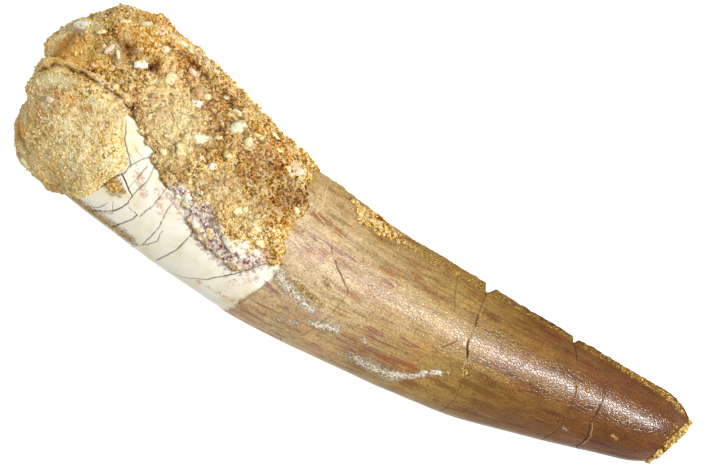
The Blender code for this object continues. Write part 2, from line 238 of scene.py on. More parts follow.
def ramp(value):
    """Rises smoothly from 0 to 1 as value does."""
    held = np.clip(value, 0.0, 1.0)
    return held * held * (3 - 2 * held)


def section_of(x):
    """Centre y, centre z, half width and half height of the tooth's section at x."""
    past_rest = x - CROWN_REST_X
    lift = np.where(past_rest < 0, -past_rest * ROOT_LIFT_PER_LENGTH, past_rest * TIP_LIFT_PER_LENGTH)
    half_height = smooth_curve(x, STATIONS_X, HALF_HEIGHT)
    return (
        smooth_curve(x, STATIONS_X, CENTRE_Y),
        half_height + lift,
        smooth_curve(x, STATIONS_X, HALF_WIDTH),
        half_height,
    )


def place_on_section(points):
    """Angle round the tooth and share of the full section, for points on its surface."""
    centre_y, centre_z, half_width, half_height = section_of(points[:, 0])
    across = (points[:, 1] - centre_y) / half_width
    up = (points[:, 2] - centre_z) / half_height
    return np.arctan2(up, across), np.minimum(np.hypot(across, up), 1.0)


def keel(x, angle):
    """How far the two keels stand out of the oval."""
    grown = ramp((x - KEEL_START_X) / KEEL_RAMP)
    height = 0.0
    for ridge, place in ((KEEL_HEIGHT, KEEL_ANGLE), (LOW_KEEL_HEIGHT, LOW_KEEL_ANGLE)):
        away = (angle - place + math.pi) % (2 * math.pi) - math.pi
        height = height + ridge * grown * np.exp(-((away / KEEL_SPREAD) ** 2))
    return height


print("width at the crown's base:", round(2 * float(section_of(np.array([-0.012]))[2][0]) / MM, 1), "mm")

# %% [markdown]
# ## A grid that covers the tooth
#
# A sphere has just the faces that a tooth needs: rings of quads between two poles. Its rings are slid along
# the tooth and stretched to each section. The pointed end is then pushed back onto a slanting plane,
# because the tip is broken off. A fine grid of this kind becomes the tooth itself, and parts of other grids
# become the sandstone. The grids are put in one fixed order, because the grains scattered on them later
# follow it.


# %% Rings from the root's pole to the tip's
def ring_places(spacing, cap_rings, spans):
    """(x, share of the full section) of each ring. Spans are (start, end, spacing) in millimetres."""
    places = []
    for i in range(cap_rings):
        turn = math.pi / 2 * i / cap_rings
        reach = ROOT_CAP_REACH * math.cos(turn) ** (2 / ROOT_CAP_POWER)
        places.append((ROOT_CAP_X - reach, math.sin(turn) ** (2 / ROOT_CAP_POWER)))
    for start, end, step in spans:
        count = max(1, round((end - start) / step))
        places += [((start + (end - start) * i / count) * MM, 1.0) for i in range(count)]
    tip_rings = max(4, round(11.0 / spacing))
    for i in range(tip_rings + 1):
        turn = math.pi / 2 * (1 - i / tip_rings)
        reach = TIP_CAP_REACH * math.cos(turn) ** (2 / TIP_CAP_POWER)
        places.append((TIP_CAP_X + reach, math.sin(turn) ** (2 / TIP_CAP_POWER)))
    return np.array(places)


def vertex_places(bm):
    return np.array([v.co for v in bm.verts])


def face_outwards(bm):
    """Turns all faces outwards, from normals that are read again after the vertices moved."""
    bm.normal_update()
    bmesh.ops.recalc_face_normals(bm, faces=bm.faces)
    bm.normal_update()


def fix_order(bm, ranks):
    """Sorts a mesh by rank and makes its faces again. Some operators leave another order in each run."""
    bm.verts.index_update()
    bm.verts.sort(key=lambda v: ranks[v.index])
    bm.verts.index_update()
    rows = []
    for face in bm.faces:
        corners = [v.index for v in face.verts]
        first = corners.index(min(corners))
        rows.append(corners[first:] + corners[:first])
    bmesh.ops.delete(bm, geom=list(bm.edges), context="EDGES_FACES")
    bm.verts.ensure_lookup_table()
    for row in sorted(rows):
        bm.faces.new([bm.verts[i] for i in row])


def tooth_grid(segments, spacing, cap_rings, spans):
    """The tooth's closed surface as a bmesh. Its beyond layer says how far a point stood past the break."""
    places = ring_places(spacing, cap_rings, spans)
    bm = bmesh.new()
    bmesh.ops.create_uvsphere(bm, u_segments=segments, v_segments=len(places) - 1, radius=1.0)
    unit = vertex_places(bm)
    ring = np.rint(np.arccos(np.clip(unit[:, 2], -1.0, 1.0)) / math.pi * (len(places) - 1)).astype(int)
    step = 2 * math.pi / segments
    turn = np.rint(np.arctan2(unit[:, 1], unit[:, 0]) / step).astype(int) % segments
    angle = np.where(turn * 2 > segments, turn - segments, turn) * step
    x, share = places[ring].T
    centre_y, centre_z, half_width, half_height = section_of(x)
    standing = keel(x, angle) * share
    points = np.stack(
        (
            x,
            centre_y + (half_width * share + standing) * np.cos(angle),
            centre_z + (half_height * share + standing) * np.sin(angle),
        ),
        axis=1,
    )
    beyond = (points - np.array(BREAK_POINT)) @ np.array(BREAK_NORMAL)
    points -= np.outer(np.maximum(beyond, 0.0), np.array(BREAK_NORMAL))
    layer = bm.verts.layers.float.new("beyond")
    for vert, point, past in zip(bm.verts, points, beyond):
        vert.co = point
        vert[layer] = past
    fix_order(bm, ring * segments + turn)
    face_outwards(bm)
    return bm


# %% [markdown]
# ## Places on the surface
#
# Cracks, stains and films follow the tooth's surface, so their places are given as a distance along the
# tooth and an angle round it. To measure how near a point is to a crack, both are laid out flat, as if the
# surface were unrolled from its lower side. A little noise bends that flat map, which turns straight
# strokes into natural wandering lines.

# %% Unrolled places, distances and noise
WANDERS = ((2.2 * MM, 0.24 * MM), (0.7 * MM, 0.09 * MM))


def bumps(points, size):
    """Smooth noise between about -1 and 1, with features of that size."""
    return np.array([noise.noise(p) for p in map(Vector, points / size)])


def girth_radius(x):
    """A mean radius of the section, which turns an angle into a length round the tooth."""
    _, _, half_width, half_height = section_of(x)
    return np.sqrt((half_width**2 + half_height**2) / 2)


def unrolled(x, degrees):
    """The flat place of (x in metres, angle in degrees), measured round from the top."""
    turned = (degrees + 90.0) % 360.0 - 180.0
    return np.stack((x, np.radians(turned) * girth_radius(x)), axis=1)


def stroke(corners):
    """The flat places of a stroke's corners, from (x in millimetres, angle in degrees)."""
    corners = np.array(corners, float)
    return unrolled(corners[:, 0] * MM, corners[:, 1])


def distance_to(flat, corners):
    """Distance from each flat place to an open line through the corners, and the share along it."""
    nearest = np.full(len(flat), np.inf)
    along = np.zeros(len(flat))
    lengths = np.linalg.norm(np.diff(corners, axis=0), axis=1)
    starts = np.concatenate(([0.0], np.cumsum(lengths)))
    for start, end, length, passed in zip(corners[:-1], corners[1:], lengths, starts):
        side = end - start
        share = np.clip((flat - start) @ side / (side @ side), 0.0, 1.0)
        away = flat - start - np.outer(share, side)
        distance = np.hypot(away[:, 0], away[:, 1])
        closer = distance < nearest
        nearest = np.where(closer, distance, nearest)
        along = np.where(closer, (passed + share * length) / starts[-1], along)
    return nearest, along


def flat_places(points):
    """Unrolled places of points on the tooth, bent a little by noise."""
    angle, _ = place_on_section(points)
    flat = unrolled(points[:, 0], np.degrees(angle))
    for size, reach in WANDERS:
        flat += np.stack((bumps(points, size), bumps(points + 0.5, size)), axis=1) * reach
    return flat


# %% [markdown]
# ## Cracks
#
# Drying and the weight of rock cracked the tooth across. In the crown they are few and long. In the softer
# root they are many, and split the pale dentine into curved plates. They could be drawn in the material
# alone, but a real groove catches light and shade from every side, so each one is carved. Each row gives
# half the width, the depth, how dark it is inside, and where it runs. Below zero means filled with pale
# sand instead. The darkness inside is partly dark fill and partly painted shade. Two rows are no cracks:
# they paint the shadow under the lump's overhanging edge onto the dentine.

# %% Cracks and painted shadow lines, as half width and depth in mm, darkness, and places
CRACKS_AND_SHADOW_LINES = (
    (0.1, 0.1, -0.8, ((-10.5, 23.0), (-9.2, 46.3), (-9.8, 54.9), (-7.2, 58.8), (-4.9, 69.8))),
    (0.09, 0.2, 0.8, ((-4.9, 69.8), (-2.6, 79.4), (0.5, 88.7), (1.0, 92.6))),
    (0.08, 0.12, 0.45, ((1.0, 92.6), (0.5, 109.2), (-0.2, 122.8), (-1.0, 130.9), (-1.8, 144.2))),
    (0.1, 0.2, 0.5, ((19.9, 5.0), (19.9, 27.8), (20.0, 43.8), (20.3, 55.5))),
    (0.1, 0.34, 0.9, ((20.3, 53.5), (20.8, 65.1))),
    (0.1, 0.16, -0.5, ((20.8, 64.1), (20.7, 72.6), (21.1, 79.6))),
    (0.11, 0.36, 0.95, ((21.0, 78.6), (21.4, 85.7), (22.2, 94.4))),
    (0.12, 0.14, -0.6, ((22.2, 93.4), (22.6, 103.3), (23.4, 110.0))),
    (0.08, 0.1, 0.35, ((23.4, 110.0), (23.8, 135.0), (23.2, 170.0))),
    (0.09, 0.12, 0.5, ((20.7, 37.6), (21.0, 52.9))),
    (0.1, 0.1, 0.4, ((14.1, 23.6), (15.3, 44.1), (16.7, 63.4))),
    (0.1, 0.1, 0.6, ((17.9, 95.4), (19.5, 84.2))),
    (0.1, 0.18, 0.75, ((36.0, 8.0), (36.0, 22.6), (37.4, 42.5))),
    (0.08, 0.12, 0.3, ((37.4, 42.5), (38.7, 62.7), (40.0, 85.0), (40.3, 99.4))),
    (0.08, 0.12, 0.42, ((40.3, 99.4), (40.8, 113.9), (40.5, 135.2), (39.6, 157.6), (40.0, 185.0))),
    (0.07, 0.1, 0.3, ((42.1, 36.7), (44.4, 75.7), (44.4, 83.8))),
    (0.09, 0.18, 0.7, ((44.4, 83.8), (44.7, 99.4), (44.5, 110.2))),
    (0.09, 0.22, 0.85, ((44.5, 110.2), (45.4, 130.0), (45.0, 160.0), (46.0, 182.0))),
    (0.06, 0.1, -0.6, ((44.9, 108.0), (45.9, 130.0), (45.5, 155.0))),
    (0.1, 0.12, 0.7, ((-6.0, 156.5), (-4.6, 160.0), (-3.9, 171.7))),
    (0.15, 0.5, 1.0, ((-35.3, 120.0), (-36.8, 115.4), (-38.6, 110.7))),
    (0.11, 0.36, 0.9, ((-35.3, 120.0), (-35.5, 126.4), (-36.3, 136.1), (-38.2, 147.7), (-40.4, 158.9))),
    (0.095, 0.26, 0.8, ((-35.1, 129.2), (-33.3, 129.6), (-33.5, 135.5), (-34.9, 147.3), (-35.9, 159.1))),
    (0.09, 0.18, 0.7, ((-34.6, 86.6), (-34.5, 97.5), (-34.8, 109.0), (-35.3, 120.0))),
    (0.08, 0.16, 0.6, ((-35.5, 95.7), (-36.1, 106.4), (-36.5, 117.9))),
    (0.09, 0.22, 0.8, ((-31.3, 94.0), (-31.6, 110.0), (-32.1, 120.4), (-32.9, 130.0))),
    (0.09, 0.22, 0.8, ((-29.6, 107.0), (-29.5, 121.5), (-29.4, 128.8), (-29.9, 139.9), (-30.6, 155.5))),
    (0.08, 0.14, 0.5, ((-30.6, 155.5), (-31.8, 169.3), (-32.6, 186.0))),
    (0.09, 0.18, 0.65, ((-28.6, 128.0), (-28.7, 140.0), (-30.6, 155.5))),
    (0.09, 0.22, 0.8, ((-24.6, 100.0), (-24.5, 119.6), (-25.0, 129.8), (-26.0, 142.7), (-27.5, 162.8))),
    (0.095, 0.22, 0.8, ((-12.3, 102.0), (-14.0, 114.8), (-15.9, 124.5), (-18.1, 137.1), (-20.4, 148.6))),
    (0.09, 0.18, 0.65, ((-20.4, 148.6), (-22.5, 158.7), (-24.6, 167.6), (-26.4, 184.0))),
    (0.08, 0.16, 0.5, ((-38.2, 137.0), (-39.2, 148.0), (-41.0, 156.0))),
    (0.08, 0.14, 0.5, ((-37.4, 133.0), (-36.9, 143.0), (-38.6, 152.0))),
    (0.08, 0.14, 0.55, ((-37.6, 103.0), (-39.4, 100.0))),
    (0.08, 0.14, 0.55, ((-36.9, 99.5), (-39.6, 95.5))),
    (0.08, 0.14, 0.45, ((-36.6, 94.0), (-39.0, 90.5))),
    (0.1, 0.2, 0.8, ((-38.2, 104.0), (-37.0, 94.6), (-36.1, 90.3))),
    (0.08, 0.14, 0.6, ((-36.2, 110.0), (-35.9, 101.0), (-35.6, 94.2))),
    (0.08, 0.14, 0.5, ((-35.3, 118.0), (-34.8, 111.6), (-34.4, 98.0))),
    # Painted shadow: these two rows are no cracks but the shade under the lump's overhanging edge
    (0.15, 0.12, 0.75, ((-42.1, 78.0), (-41.1, 87.0), (-39.7, 95.0), (-37.9, 102.0), (-38.2, 109.0),
                        (-39.7, 119.0))),
    (0.15, 0.12, 0.7, ((-39.7, 119.0), (-40.0, 126.0), (-41.0, 135.0), (-41.7, 143.0), (-43.3, 158.0))),
    (0.07, 0.08, 0.6, ((-13.8, 159.4), (-12.6, 140.0), (-11.4, 127.0), (-10.4, 113.0), (-9.7, 105.0))),
    (0.12, 0.2, 0.6, ((-28.0, 200.0), (-27.0, 228.0), (-24.0, 268.0))),
    (0.12, 0.2, 0.6, ((4.0, 196.0), (2.5, 228.0), (6.5, 268.0))),
    (0.12, 0.2, 0.6, ((6.5, 272.0), (5.0, 300.0), (8.0, 332.0))),
    (0.12, 0.18, 0.6, ((22.5, 206.0), (24.5, 244.0), (22.8, 268.0))),
    (0.12, 0.18, 0.6, ((22.8, 272.0), (22.0, 298.0), (24.0, 322.0))),
    (0.12, 0.18, 0.7, ((46.0, 182.0), (44.2, 222.0), (45.8, 268.0))),
    (0.12, 0.18, 0.6, ((45.8, 272.0), (44.6, 290.0), (43.5, 310.0))),
)
NOTCHES = ((0.85, 1.5, ((19.9, -24.0), (19.9, 14.0))), (0.55, 1.0, ((36.1, -22.0), (36.1, 12.0))))
CRACK_REFINE_REACH, CRACK_CUTS = 0.42 * MM, 4


def subdivide_near(bm, lines, reach, cuts):
    """Cuts the faces near the lines into smaller ones, so that narrow grooves can be carved."""
    flat = flat_places(vertex_places(bm))
    near = np.zeros(len(flat), bool)
    for line in lines:
        near |= distance_to(flat, line)[0] < reach
    chosen = [e for e in bm.edges if near[e.verts[0].index] or near[e.verts[1].index]]
    bmesh.ops.subdivide_edges(bm, edges=chosen, cuts=cuts, use_grid_fill=True)
    bm.normal_update()


def carved(flat, lines):
    """Depth to carve, darkness and pale filling at each flat place, from rows like those of CRACKS_AND_SHADOW_LINES."""
    depth = np.zeros(len(flat))
    dark = np.zeros(len(flat))
    filled = np.zeros(len(flat))
    for half_width, deep, tone, corners in lines:
        distance, along = distance_to(flat, stroke(corners))
        narrowed = half_width * MM * (0.55 + 0.45 * np.sqrt(np.clip(4 * along * (1 - along), 0, 1)))
        across = np.clip(1 - (distance / narrowed) ** 2, 0, 1)
        depth = np.maximum(depth, deep * MM * across)
        painted = across * abs(tone)
        dark = np.maximum(dark, painted if tone > 0 else 0)
        filled = np.maximum(filled, painted if tone < 0 else 0)
    return depth, dark, filled


# %% [markdown]
# ## Enamel and dentine
#
# The crown is coated with enamel less than half a millimetre thick, and the root is bare dentine. The coat
# ends in a low step along a ragged line near the sandstone. Enamel of this kind has faint flutes that run
# lengthwise, and a veined, leathery grain. The step and the flutes are real relief, and the grain is fine
# enough for the material's bump.

# %% Relief of the tooth
ENAMEL_EDGE_ANGLE = (0, 60, 92, 98, 101, 111, 118, 131, 148, 169, 200, 240, 270, 300, 340, 360)
ENAMEL_EDGE_X = (-16, -15.5, -15, -13.5, -10.2, -10.3, -10.9, -12.4, -12.8, -14.2, -16.5, -19, -20, -19,
                 -17, -16)
ENAMEL_STEP, ENAMEL_RAMP = 0.16 * MM, 0.3 * MM
FLUTES_ROUND, FLUTE_HEIGHT = 34, 0.035 * MM
SWELLS = ((9.0 * MM, 0.14 * MM), (3.5 * MM, 0.05 * MM))


def into_enamel(points):
    """How far each point lies inside the enamel, along the tooth."""
    angle, _ = place_on_section(points)
    ragged = bumps(points, 2.6 * MM) * 0.5 * MM + bumps(points, 0.9 * MM) * 0.2 * MM
    return points[:, 0] - by_angle(angle, ENAMEL_EDGE_ANGLE, ENAMEL_EDGE_X) + ragged


def tooth_relief(points):
    """Height to add to the tooth's surface, before its cracks."""
    angle, _ = place_on_section(points)
    coat = ramp(into_enamel(points) / ENAMEL_RAMP)
    fading = ramp((30 * MM - points[:, 0]) / (34 * MM))
    wandering = bumps(points * np.array((0.25, 1, 1)), 4 * MM) * 1.6
    flutes = np.sin(angle * FLUTES_ROUND + wandering) * FLUTE_HEIGHT * fading * coat
    height = coat * ENAMEL_STEP - ENAMEL_STEP / 2 + flutes
    for size, rise in SWELLS:
        height += bumps(points, size) * rise
    near_keel = np.exp(-(((np.degrees(angle) + 180) % 360 - 184) / 9) ** 2)
    chipped = ramp(bumps(points, 6.0 * MM) * 3)
    nicks = bumps(points, 1.3 * MM) * 0.34 * chipped + bumps(points, 0.6 * MM) * 0.12
    height += nicks * MM * near_keel * coat
    return height


# %% [markdown]
# ## Stains and films
#
# Ground water left its own colours: brick red iron along some growth lines, purple manganese beside the
# sandstone, and thin crumbly white films. They are only colour or nearly so. Each is a soft stroke on the
# unrolled map, stored as a number at every vertex, and the material breaks its edges up with noise.

# %% Strokes of colour, as a half width in mm, a strength, and places
STAINS = {
    "rust": (
        (0.85, 0.68, ((-9.7, 57.5), (-7.5, 56.5), (-4.9, 55.9))),
        (0.3, 0.5, ((-4.9, 55.9), (-1.9, 55.7), (5.6, 55.7), (12.0, 55.0))),
        (0.3, 0.42, ((-8.2, 72.6), (-0.5, 67.6), (4.9, 70.9), (10.0, 71.0))),
        (1.2, 0.56, ((-8.3, 81.4), (-5.2, 77.7))),
        (1.6, 0.3, ((5.2, 111.1), (15.8, 106.8))),
        (1.3, 0.42, ((6.7, 131.3), (14.5, 126.3), (20.0, 118.0))),
        (1.6, 0.25, ((-12.5, 150.0), (0.0, 150.0), (8.0, 152.0))),
        (0.7, 0.35, ((-11.5, 128.0), (-8.0, 124.0))),
        (0.55, 0.85, ((19.5, -8.0), (19.9, 22.0))),
        (0.4, 0.5, ((36.0, -4.0), (36.2, 20.0))),
        (1.2, 0.4, ((2.0, 250.0), (12.0, 246.0))),
        (0.9, 0.4, ((-6.0, 300.0), (8.0, 304.0))),
    ),
    "umber": (
        (1.2, 0.66, ((27.0, 130.0), (34.0, 136.0), (43.0, 134.0))),
        (1.4, 0.5, ((24.0, 116.0), (33.0, 122.0), (38.0, 120.0))),
        (0.9, 0.5, ((40.0, 118.0), (50.0, 124.0))),
        (1.0, 0.45, ((22.0, 150.0), (32.0, 152.0))),
        (0.8, 0.45, ((26.0, 40.0), (36.0, 38.0))),
        (0.7, 0.4, ((38.0, 60.0), (48.0, 62.0))),
    ),
    "plum": (
        (1.3, 0.56, ((4.0, 128.0), (11.0, 127.0), (16.0, 122.0))),
        (0.9, 0.55, ((4.0, 137.0), (9.0, 135.0), (16.0, 128.0))),
        (1.4, 0.5, ((7.0, 111.0), (14.0, 108.0))),
        (0.7, 0.45, ((-10.5, 116.0), (-6.0, 124.0))),
        (0.9, 0.42, ((-12.5, 147.0), (-6.0, 149.0), (2.0, 149.0))),
        (0.6, 0.5, ((-10.0, 72.0), (-2.0, 68.0), (6.0, 70.0))),
        (0.6, 0.4, ((12.0, 56.0), (22.0, 58.0))),
    ),
    "blush": (
        (1.0, 0.55, ((-36.4, 104.0), (-34.0, 112.0))),
        (0.9, 0.5, ((-32.5, 104.0), (-30.5, 116.0))),
        (1.6, 0.4, ((-16.0, 130.0), (-12.6, 117.0))),
        (1.5, 0.35, ((-8.5, 84.0), (-5.5, 79.0))),
        (0.8, 0.5, ((-11.0, 93.0), (-9.4, 104.0))),
        (1.4, 0.3, ((8.0, 100.0), (18.0, 98.0))),
        (0.5, 0.6, ((-20.0, 150.0), (-14.0, 147.0), (-12.6, 139.0))),
    ),
    "purple": (
        (1.0, 0.6, ((-30.5, 103.0), (-27.0, 107.0), (-25.2, 112.0), (-22.4, 119.0), (-19.0, 122.0),
                    (-16.0, 122.0))),
        (2.0, 0.28, ((-27.0, 110.0), (-20.0, 122.0), (-15.0, 122.0))),
        (0.6, 0.6, ((-15.0, 120.0), (-12.6, 108.0))),
        (0.5, 0.5, ((-12.6, 106.0), (-11.2, 104.0))),
    ),
    "film": (
        (1.3, 0.64, ((-9.3, 107.0), (-7.2, 111.0))),
        (0.9, 0.64, ((-6.6, 112.0), (-4.6, 113.6), (-2.5, 116.5))),
        (0.8, 0.42, ((-6.5, 139.0), (-3.4, 133.1))),
        (0.9, 0.66, ((-1.2, 126.4), (2.4, 120.8))),
        (1.6, 0.58, ((6.9, 140.1), (10.7, 140.6), (14.0, 140.2))),
        (0.55, 0.8, ((12.8, 140.8), (16.1, 131.0), (17.8, 122.1), (20.0, 115.0))),
        (0.9, 0.35, ((14.0, 136.0), (18.5, 120.0))),
        (0.4, 0.6, ((6.4, 118.0), (7.4, 121.0))),
        (0.3, 0.42, ((41.0, 128.0), (42.2, 131.0))),
        (1.0, 0.5, ((-2.0, 236.0), (4.0, 240.0))),
        (0.9, 0.5, ((16.0, 290.0), (19.0, 286.0))),
    ),
    "pink_film": (
        (1.1, 0.5, ((-8.4, 109.4), (-5.2, 113.4))),
        (1.0, 0.45, ((-4.4, 113.6), (-1.0, 117.0))),
        (0.9, 0.4, ((7.4, 137.4), (14.0, 136.0))),
        (0.5, 0.4, ((-5.0, 137.0), (-3.6, 134.0))),
    ),
    "sand": (
        (1.5, 0.35, ((-9.0, 10.0), (-5.0, 12.0), (3.5, 14.0))),
        (1.1, 0.6, ((3.5, 18.0), (8.0, 22.0))),
        (2.2, 0.42, ((4.0, 22.0), (12.0, 20.0), (20.0, 16.0))),
        (1.4, 0.36, ((20.0, 16.0), (30.0, 12.0), (44.0, 12.0))),
        (0.3, 0.7, ((18.4, 120.0), (21.2, 111.6))),
        (0.5, 0.42, ((41.0, 4.0), (46.0, 2.0), (50.5, 5.0))),
        (0.5, 0.5, ((50.5, 5.0), (54.0, 8.0), (57.0, 14.0))),
        (1.5, 0.5, ((45.0, 10.0), (51.0, 13.0), (56.5, 22.0))),
        (0.4, 0.7, ((13.9, 16.7), (14.4, 27.5))),
        (0.25, 0.6, ((39.2, 70.9), (39.5, 76.1))),
        (0.3, 0.7, ((41.0, 70.5), (41.4, 76.6))),
        (0.7, 0.5, ((-8.4, 105.5), (-5.6, 106.0), (-1.8, 110.0))),
        (0.4, 0.6, ((-2.9, 92.5), (-2.0, 95.5))),
        (0.5, 0.6, ((22.4, 104.0), (24.0, 107.0))),
        (1.5, 0.9, ((-41.4, 119.0), (-39.6, 120.5), (-38.6, 122.0))),
        (0.8, 0.8, ((-38.6, 121.0), (-37.2, 121.0))),
        (2.0, 0.62, ((-46.5, 164.0), (-42.0, 162.0), (-38.0, 160.0), (-33.0, 159.0))),
        (0.3, 0.7, ((48.6, 117.0), (49.6, 120.0))),
        (0.5, 0.45, ((57.0, 62.0), (56.9, 120.0), (55.6, 170.0))),
        (0.35, 0.5, ((0.6, 136.0), (0.5, 124.0))),
        (1.0, 0.5, ((-15.0, 210.0), (-12.0, 240.0), (-13.0, 266.0))),
        (1.0, 0.5, ((-13.0, 275.0), (-12.0, 300.0), (-10.0, 330.0))),
    ),
}


def painted(flat, rows):
    """How strongly the strokes colour each flat place."""
    total = np.zeros(len(flat))
    for half_width, strength, corners in rows:
        distance, _ = distance_to(flat, stroke(corners))
        total = np.maximum(total, strength * np.exp(-((distance / (half_width * MM)) ** 2)))
    return total


def set_values(mesh, name, values):
    """Stores one number, or three, at every vertex."""
    values = np.asarray(values, np.float32)
    kind, field = ("FLOAT_VECTOR", "vector") if values.ndim == 2 else ("FLOAT", "value")
    mesh.attributes.new(name, kind, "POINT").data.foreach_set(field, values.ravel())


def new_piece(name, bm, replaced=()):
    """The bmesh as a smooth object that rides on the part."""
    mesh = bpy.data.meshes.new(name)
    bm.to_mesh(mesh)
    bm.free()
    mesh.shade_smooth()
    piece = bpy.data.objects.new(name, mesh)
    bpy.context.scene.collection.objects.link(piece)
    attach(piece, "root")
    if replaced:
        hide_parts(*replaced)
    return piece


def triangle_count(piece):
    return sum(len(p.vertices) - 2 for p in piece.data.polygons)


# %% The tooth, carved
TOOTH_SEGMENTS = 150
TOOTH_SPANS = ((-47.0, -8.0, 0.5), (-8.0, 52.0, 0.42))
FILM_RELIEF, SAND_RELIEF = 0.05 * MM, 0.08 * MM

bm = tooth_grid(TOOTH_SEGMENTS, 0.45, 16, TOOTH_SPANS)
crack_lines = [stroke(row[-1]) for row in CRACKS_AND_SHADOW_LINES]
notch_lines = [stroke(row[-1]) for row in NOTCHES]
subdivide_near(bm, notch_lines, 1.3 * MM, 1)
subdivide_near(bm, crack_lines, CRACK_REFINE_REACH, CRACK_CUTS)
points = vertex_places(bm)
outward = np.array([v.normal for v in bm.verts])
flat = flat_places(points)
depth, dark, filled = carved(flat, CRACKS_AND_SHADOW_LINES)
height = tooth_relief(points) - depth
for half_width, deep, corners in NOTCHES:
    distance, _ = distance_to(flat, stroke(corners))
    share = np.clip(1 - distance / (half_width * MM), 0, 1)
    height -= deep * MM * share
    # The notches are darkened towards their floors as well: dark fill and painted shade
    dark = np.maximum(dark, 0.55 * ramp(share * 2))
colours = {name: painted(flat, rows) for name, rows in STAINS.items()}
crumbs = np.clip(bumps(points, 0.55 * MM) + 0.25, 0, 1)
height += crumbs * (colours["film"] * FILM_RELIEF + colours["sand"] * SAND_RELIEF)

tooth = new_piece("fluted_tooth", bm, ["tooth"])
moved = points + outward * height[:, None]
moved[:, 2] = np.maximum(moved[:, 2], 0.0)
tooth.data.vertices.foreach_set("co", moved.astype(np.float32).ravel())
tooth.data.update()
angle, _ = place_on_section(points)
straightened = np.stack((points[:, 0], 11 * MM * np.cos(angle), 11 * MM * np.sin(angle)), axis=1)
set_values(tooth.data, "straightened", straightened)
set_values(tooth.data, "enamel", ramp(into_enamel(points) / ENAMEL_RAMP))
# Darkness of the cracks and notches, dark fill and painted shade, and the painted shadow under the lump's edge
set_values(tooth.data, "dark_fill_and_shade", dark)
set_values(tooth.data, "crack_sand", filled)
for name, values in colours.items():
    set_values(tooth.data, name, values)
print(tooth.name, triangle_count(tooth), "triangles")

# %% [markdown]
# ## Fossil enamel and dentine
#
# Fossil enamel is still apatite, glassy and a little see-through, with an index of about 1.6. Iron has dyed
# it from beige by the root to deep brown at the tip. Growth lines run lengthwise, so their noise is read in
# the straightened map, squeezed along the tooth. The polish grows towards the tip, and a veined bump of
# half a millimetre breaks the highlight up. The dentine under it is chalky and cream white, with no gloss
# to speak of.

# %% Tooth material
FOSSIL_INDEX = 1.6
ENAMEL_ALONG = (
    (0.0, shade("#cdb892")),
    (0.22, shade("#c3ae86")),
    (0.42, shade("#aa8e52")),
    (0.6, shade("#866427")),
    (0.8, shade("#734915")),
    (1.0, shade("#6e4009")),
)
tooth_material, tree = new_material("fossil enamel and dentine")
place = add(tree, "ShaderNodeTexCoord").outputs["Object"]
straight = add(tree, "ShaderNodeAttribute", attribute_name="straightened").outputs["Vector"]
parts = add(tree, "ShaderNodeSeparateXYZ", {0: straight})
tipward = add(tree, "ShaderNodeMapRange", {0: parts.outputs[0], 1: -0.016, 2: 0.058}).outputs[0]
enamel = add(tree, "ShaderNodeValToRGB", {0: tipward}, ENAMEL_ALONG).outputs[0]

# The keel's side is darkened towards olive, partly its own tint and partly painted shade,
# and the middle near the root is flushed with pink
keelward = add(tree, "ShaderNodeMapRange", {0: parts.outputs[1], 1: 0.0055, 2: 0.0102}).outputs[0]
olive_and_painted_shade = add(tree, "ShaderNodeMath", {0: keelward, 1: 0.62}, operation="MULTIPLY").outputs[0]
enamel = add(
    tree, "ShaderNodeMix", {0: olive_and_painted_shade, 6: enamel, 7: shade("#c2ae70")}, data_type="RGBA",
    blend_type="MULTIPLY"
).outputs[2]
flush = add(tree, "ShaderNodeTexNoise", {"Vector": place, "Scale": 110.0, "Detail": 3.0}).outputs[0]
FLUSH_SHADES = ((0.3, shade("#e9e0c0")), (0.5, shade("#ffffff")), (0.72, shade("#f5dacc")))
flushed = add(tree, "ShaderNodeValToRGB", {0: flush}, FLUSH_SHADES).outputs[0]
enamel = add(
    tree, "ShaderNodeMix", {0: 0.85, 6: enamel, 7: flushed}, data_type="RGBA", blend_type="MULTIPLY"
).outputs[2]

# Painted shade: the enamel is darkened towards the bulging lower flank
painted_shade_low_flank = add(tree, "ShaderNodeMapRange", {0: parts.outputs[1], 1: -0.0035, 2: -0.0098}).outputs[0]
enamel = add(
    tree, "ShaderNodeMix", {0: painted_shade_low_flank, 6: enamel, 7: shade("#f8f4ea")}, data_type="RGBA",
    blend_type="MULTIPLY"
).outputs[2]
print("enamel colours:", len(tree.nodes), "nodes so far")

# %% [markdown]
# Growth lines wander lengthwise: broad bands, dashes 0.3 mm across, and thin dark lines far apart.
# Between them the enamel is peppered with brown and golden specks, and clouded by long blotches.

# %% Growth lines, specks and clouds
lines_map = add(tree, "ShaderNodeMapping", {0: straight, "Scale": (0.055, 1.0, 1.0)}).outputs[0]
drawn_out = add(tree, "ShaderNodeMapping", {0: straight, "Scale": (0.08, 1.0, 1.0)}).outputs[0]
cloud_map = add(tree, "ShaderNodeMapping", {0: straight, "Scale": (0.25, 1.0, 1.0)}).outputs[0]
bands = add(tree, "ShaderNodeTexNoise", {"Vector": lines_map, "Scale": 700.0, "Detail": 6.0}).outputs[0]
dashes = add(tree, "ShaderNodeTexNoise", {"Vector": drawn_out, "Scale": 3000.0, "Detail": 3.0}).outputs[0]
lone_lines = add(
    tree, "ShaderNodeTexNoise", {"Vector": lines_map, "Scale": 330.0, "Detail": 1.0, "Distortion": 0.3}
).outputs[0]
clouds = add(tree, "ShaderNodeTexNoise", {"Vector": cloud_map, "Scale": 600.0, "Detail": 4.0}).outputs[0]
speckle = add(tree, "ShaderNodeTexNoise", {"Vector": place, "Scale": 2300.0, "Detail": 4.0}).outputs[0]
pepper = add(tree, "ShaderNodeTexNoise", {"Vector": place, "Scale": 5200.0, "Detail": 2.0}).outputs[0]
blotches = add(tree, "ShaderNodeTexNoise", {"Vector": place, "Scale": 420.0, "Detail": 5.0}).outputs[0]
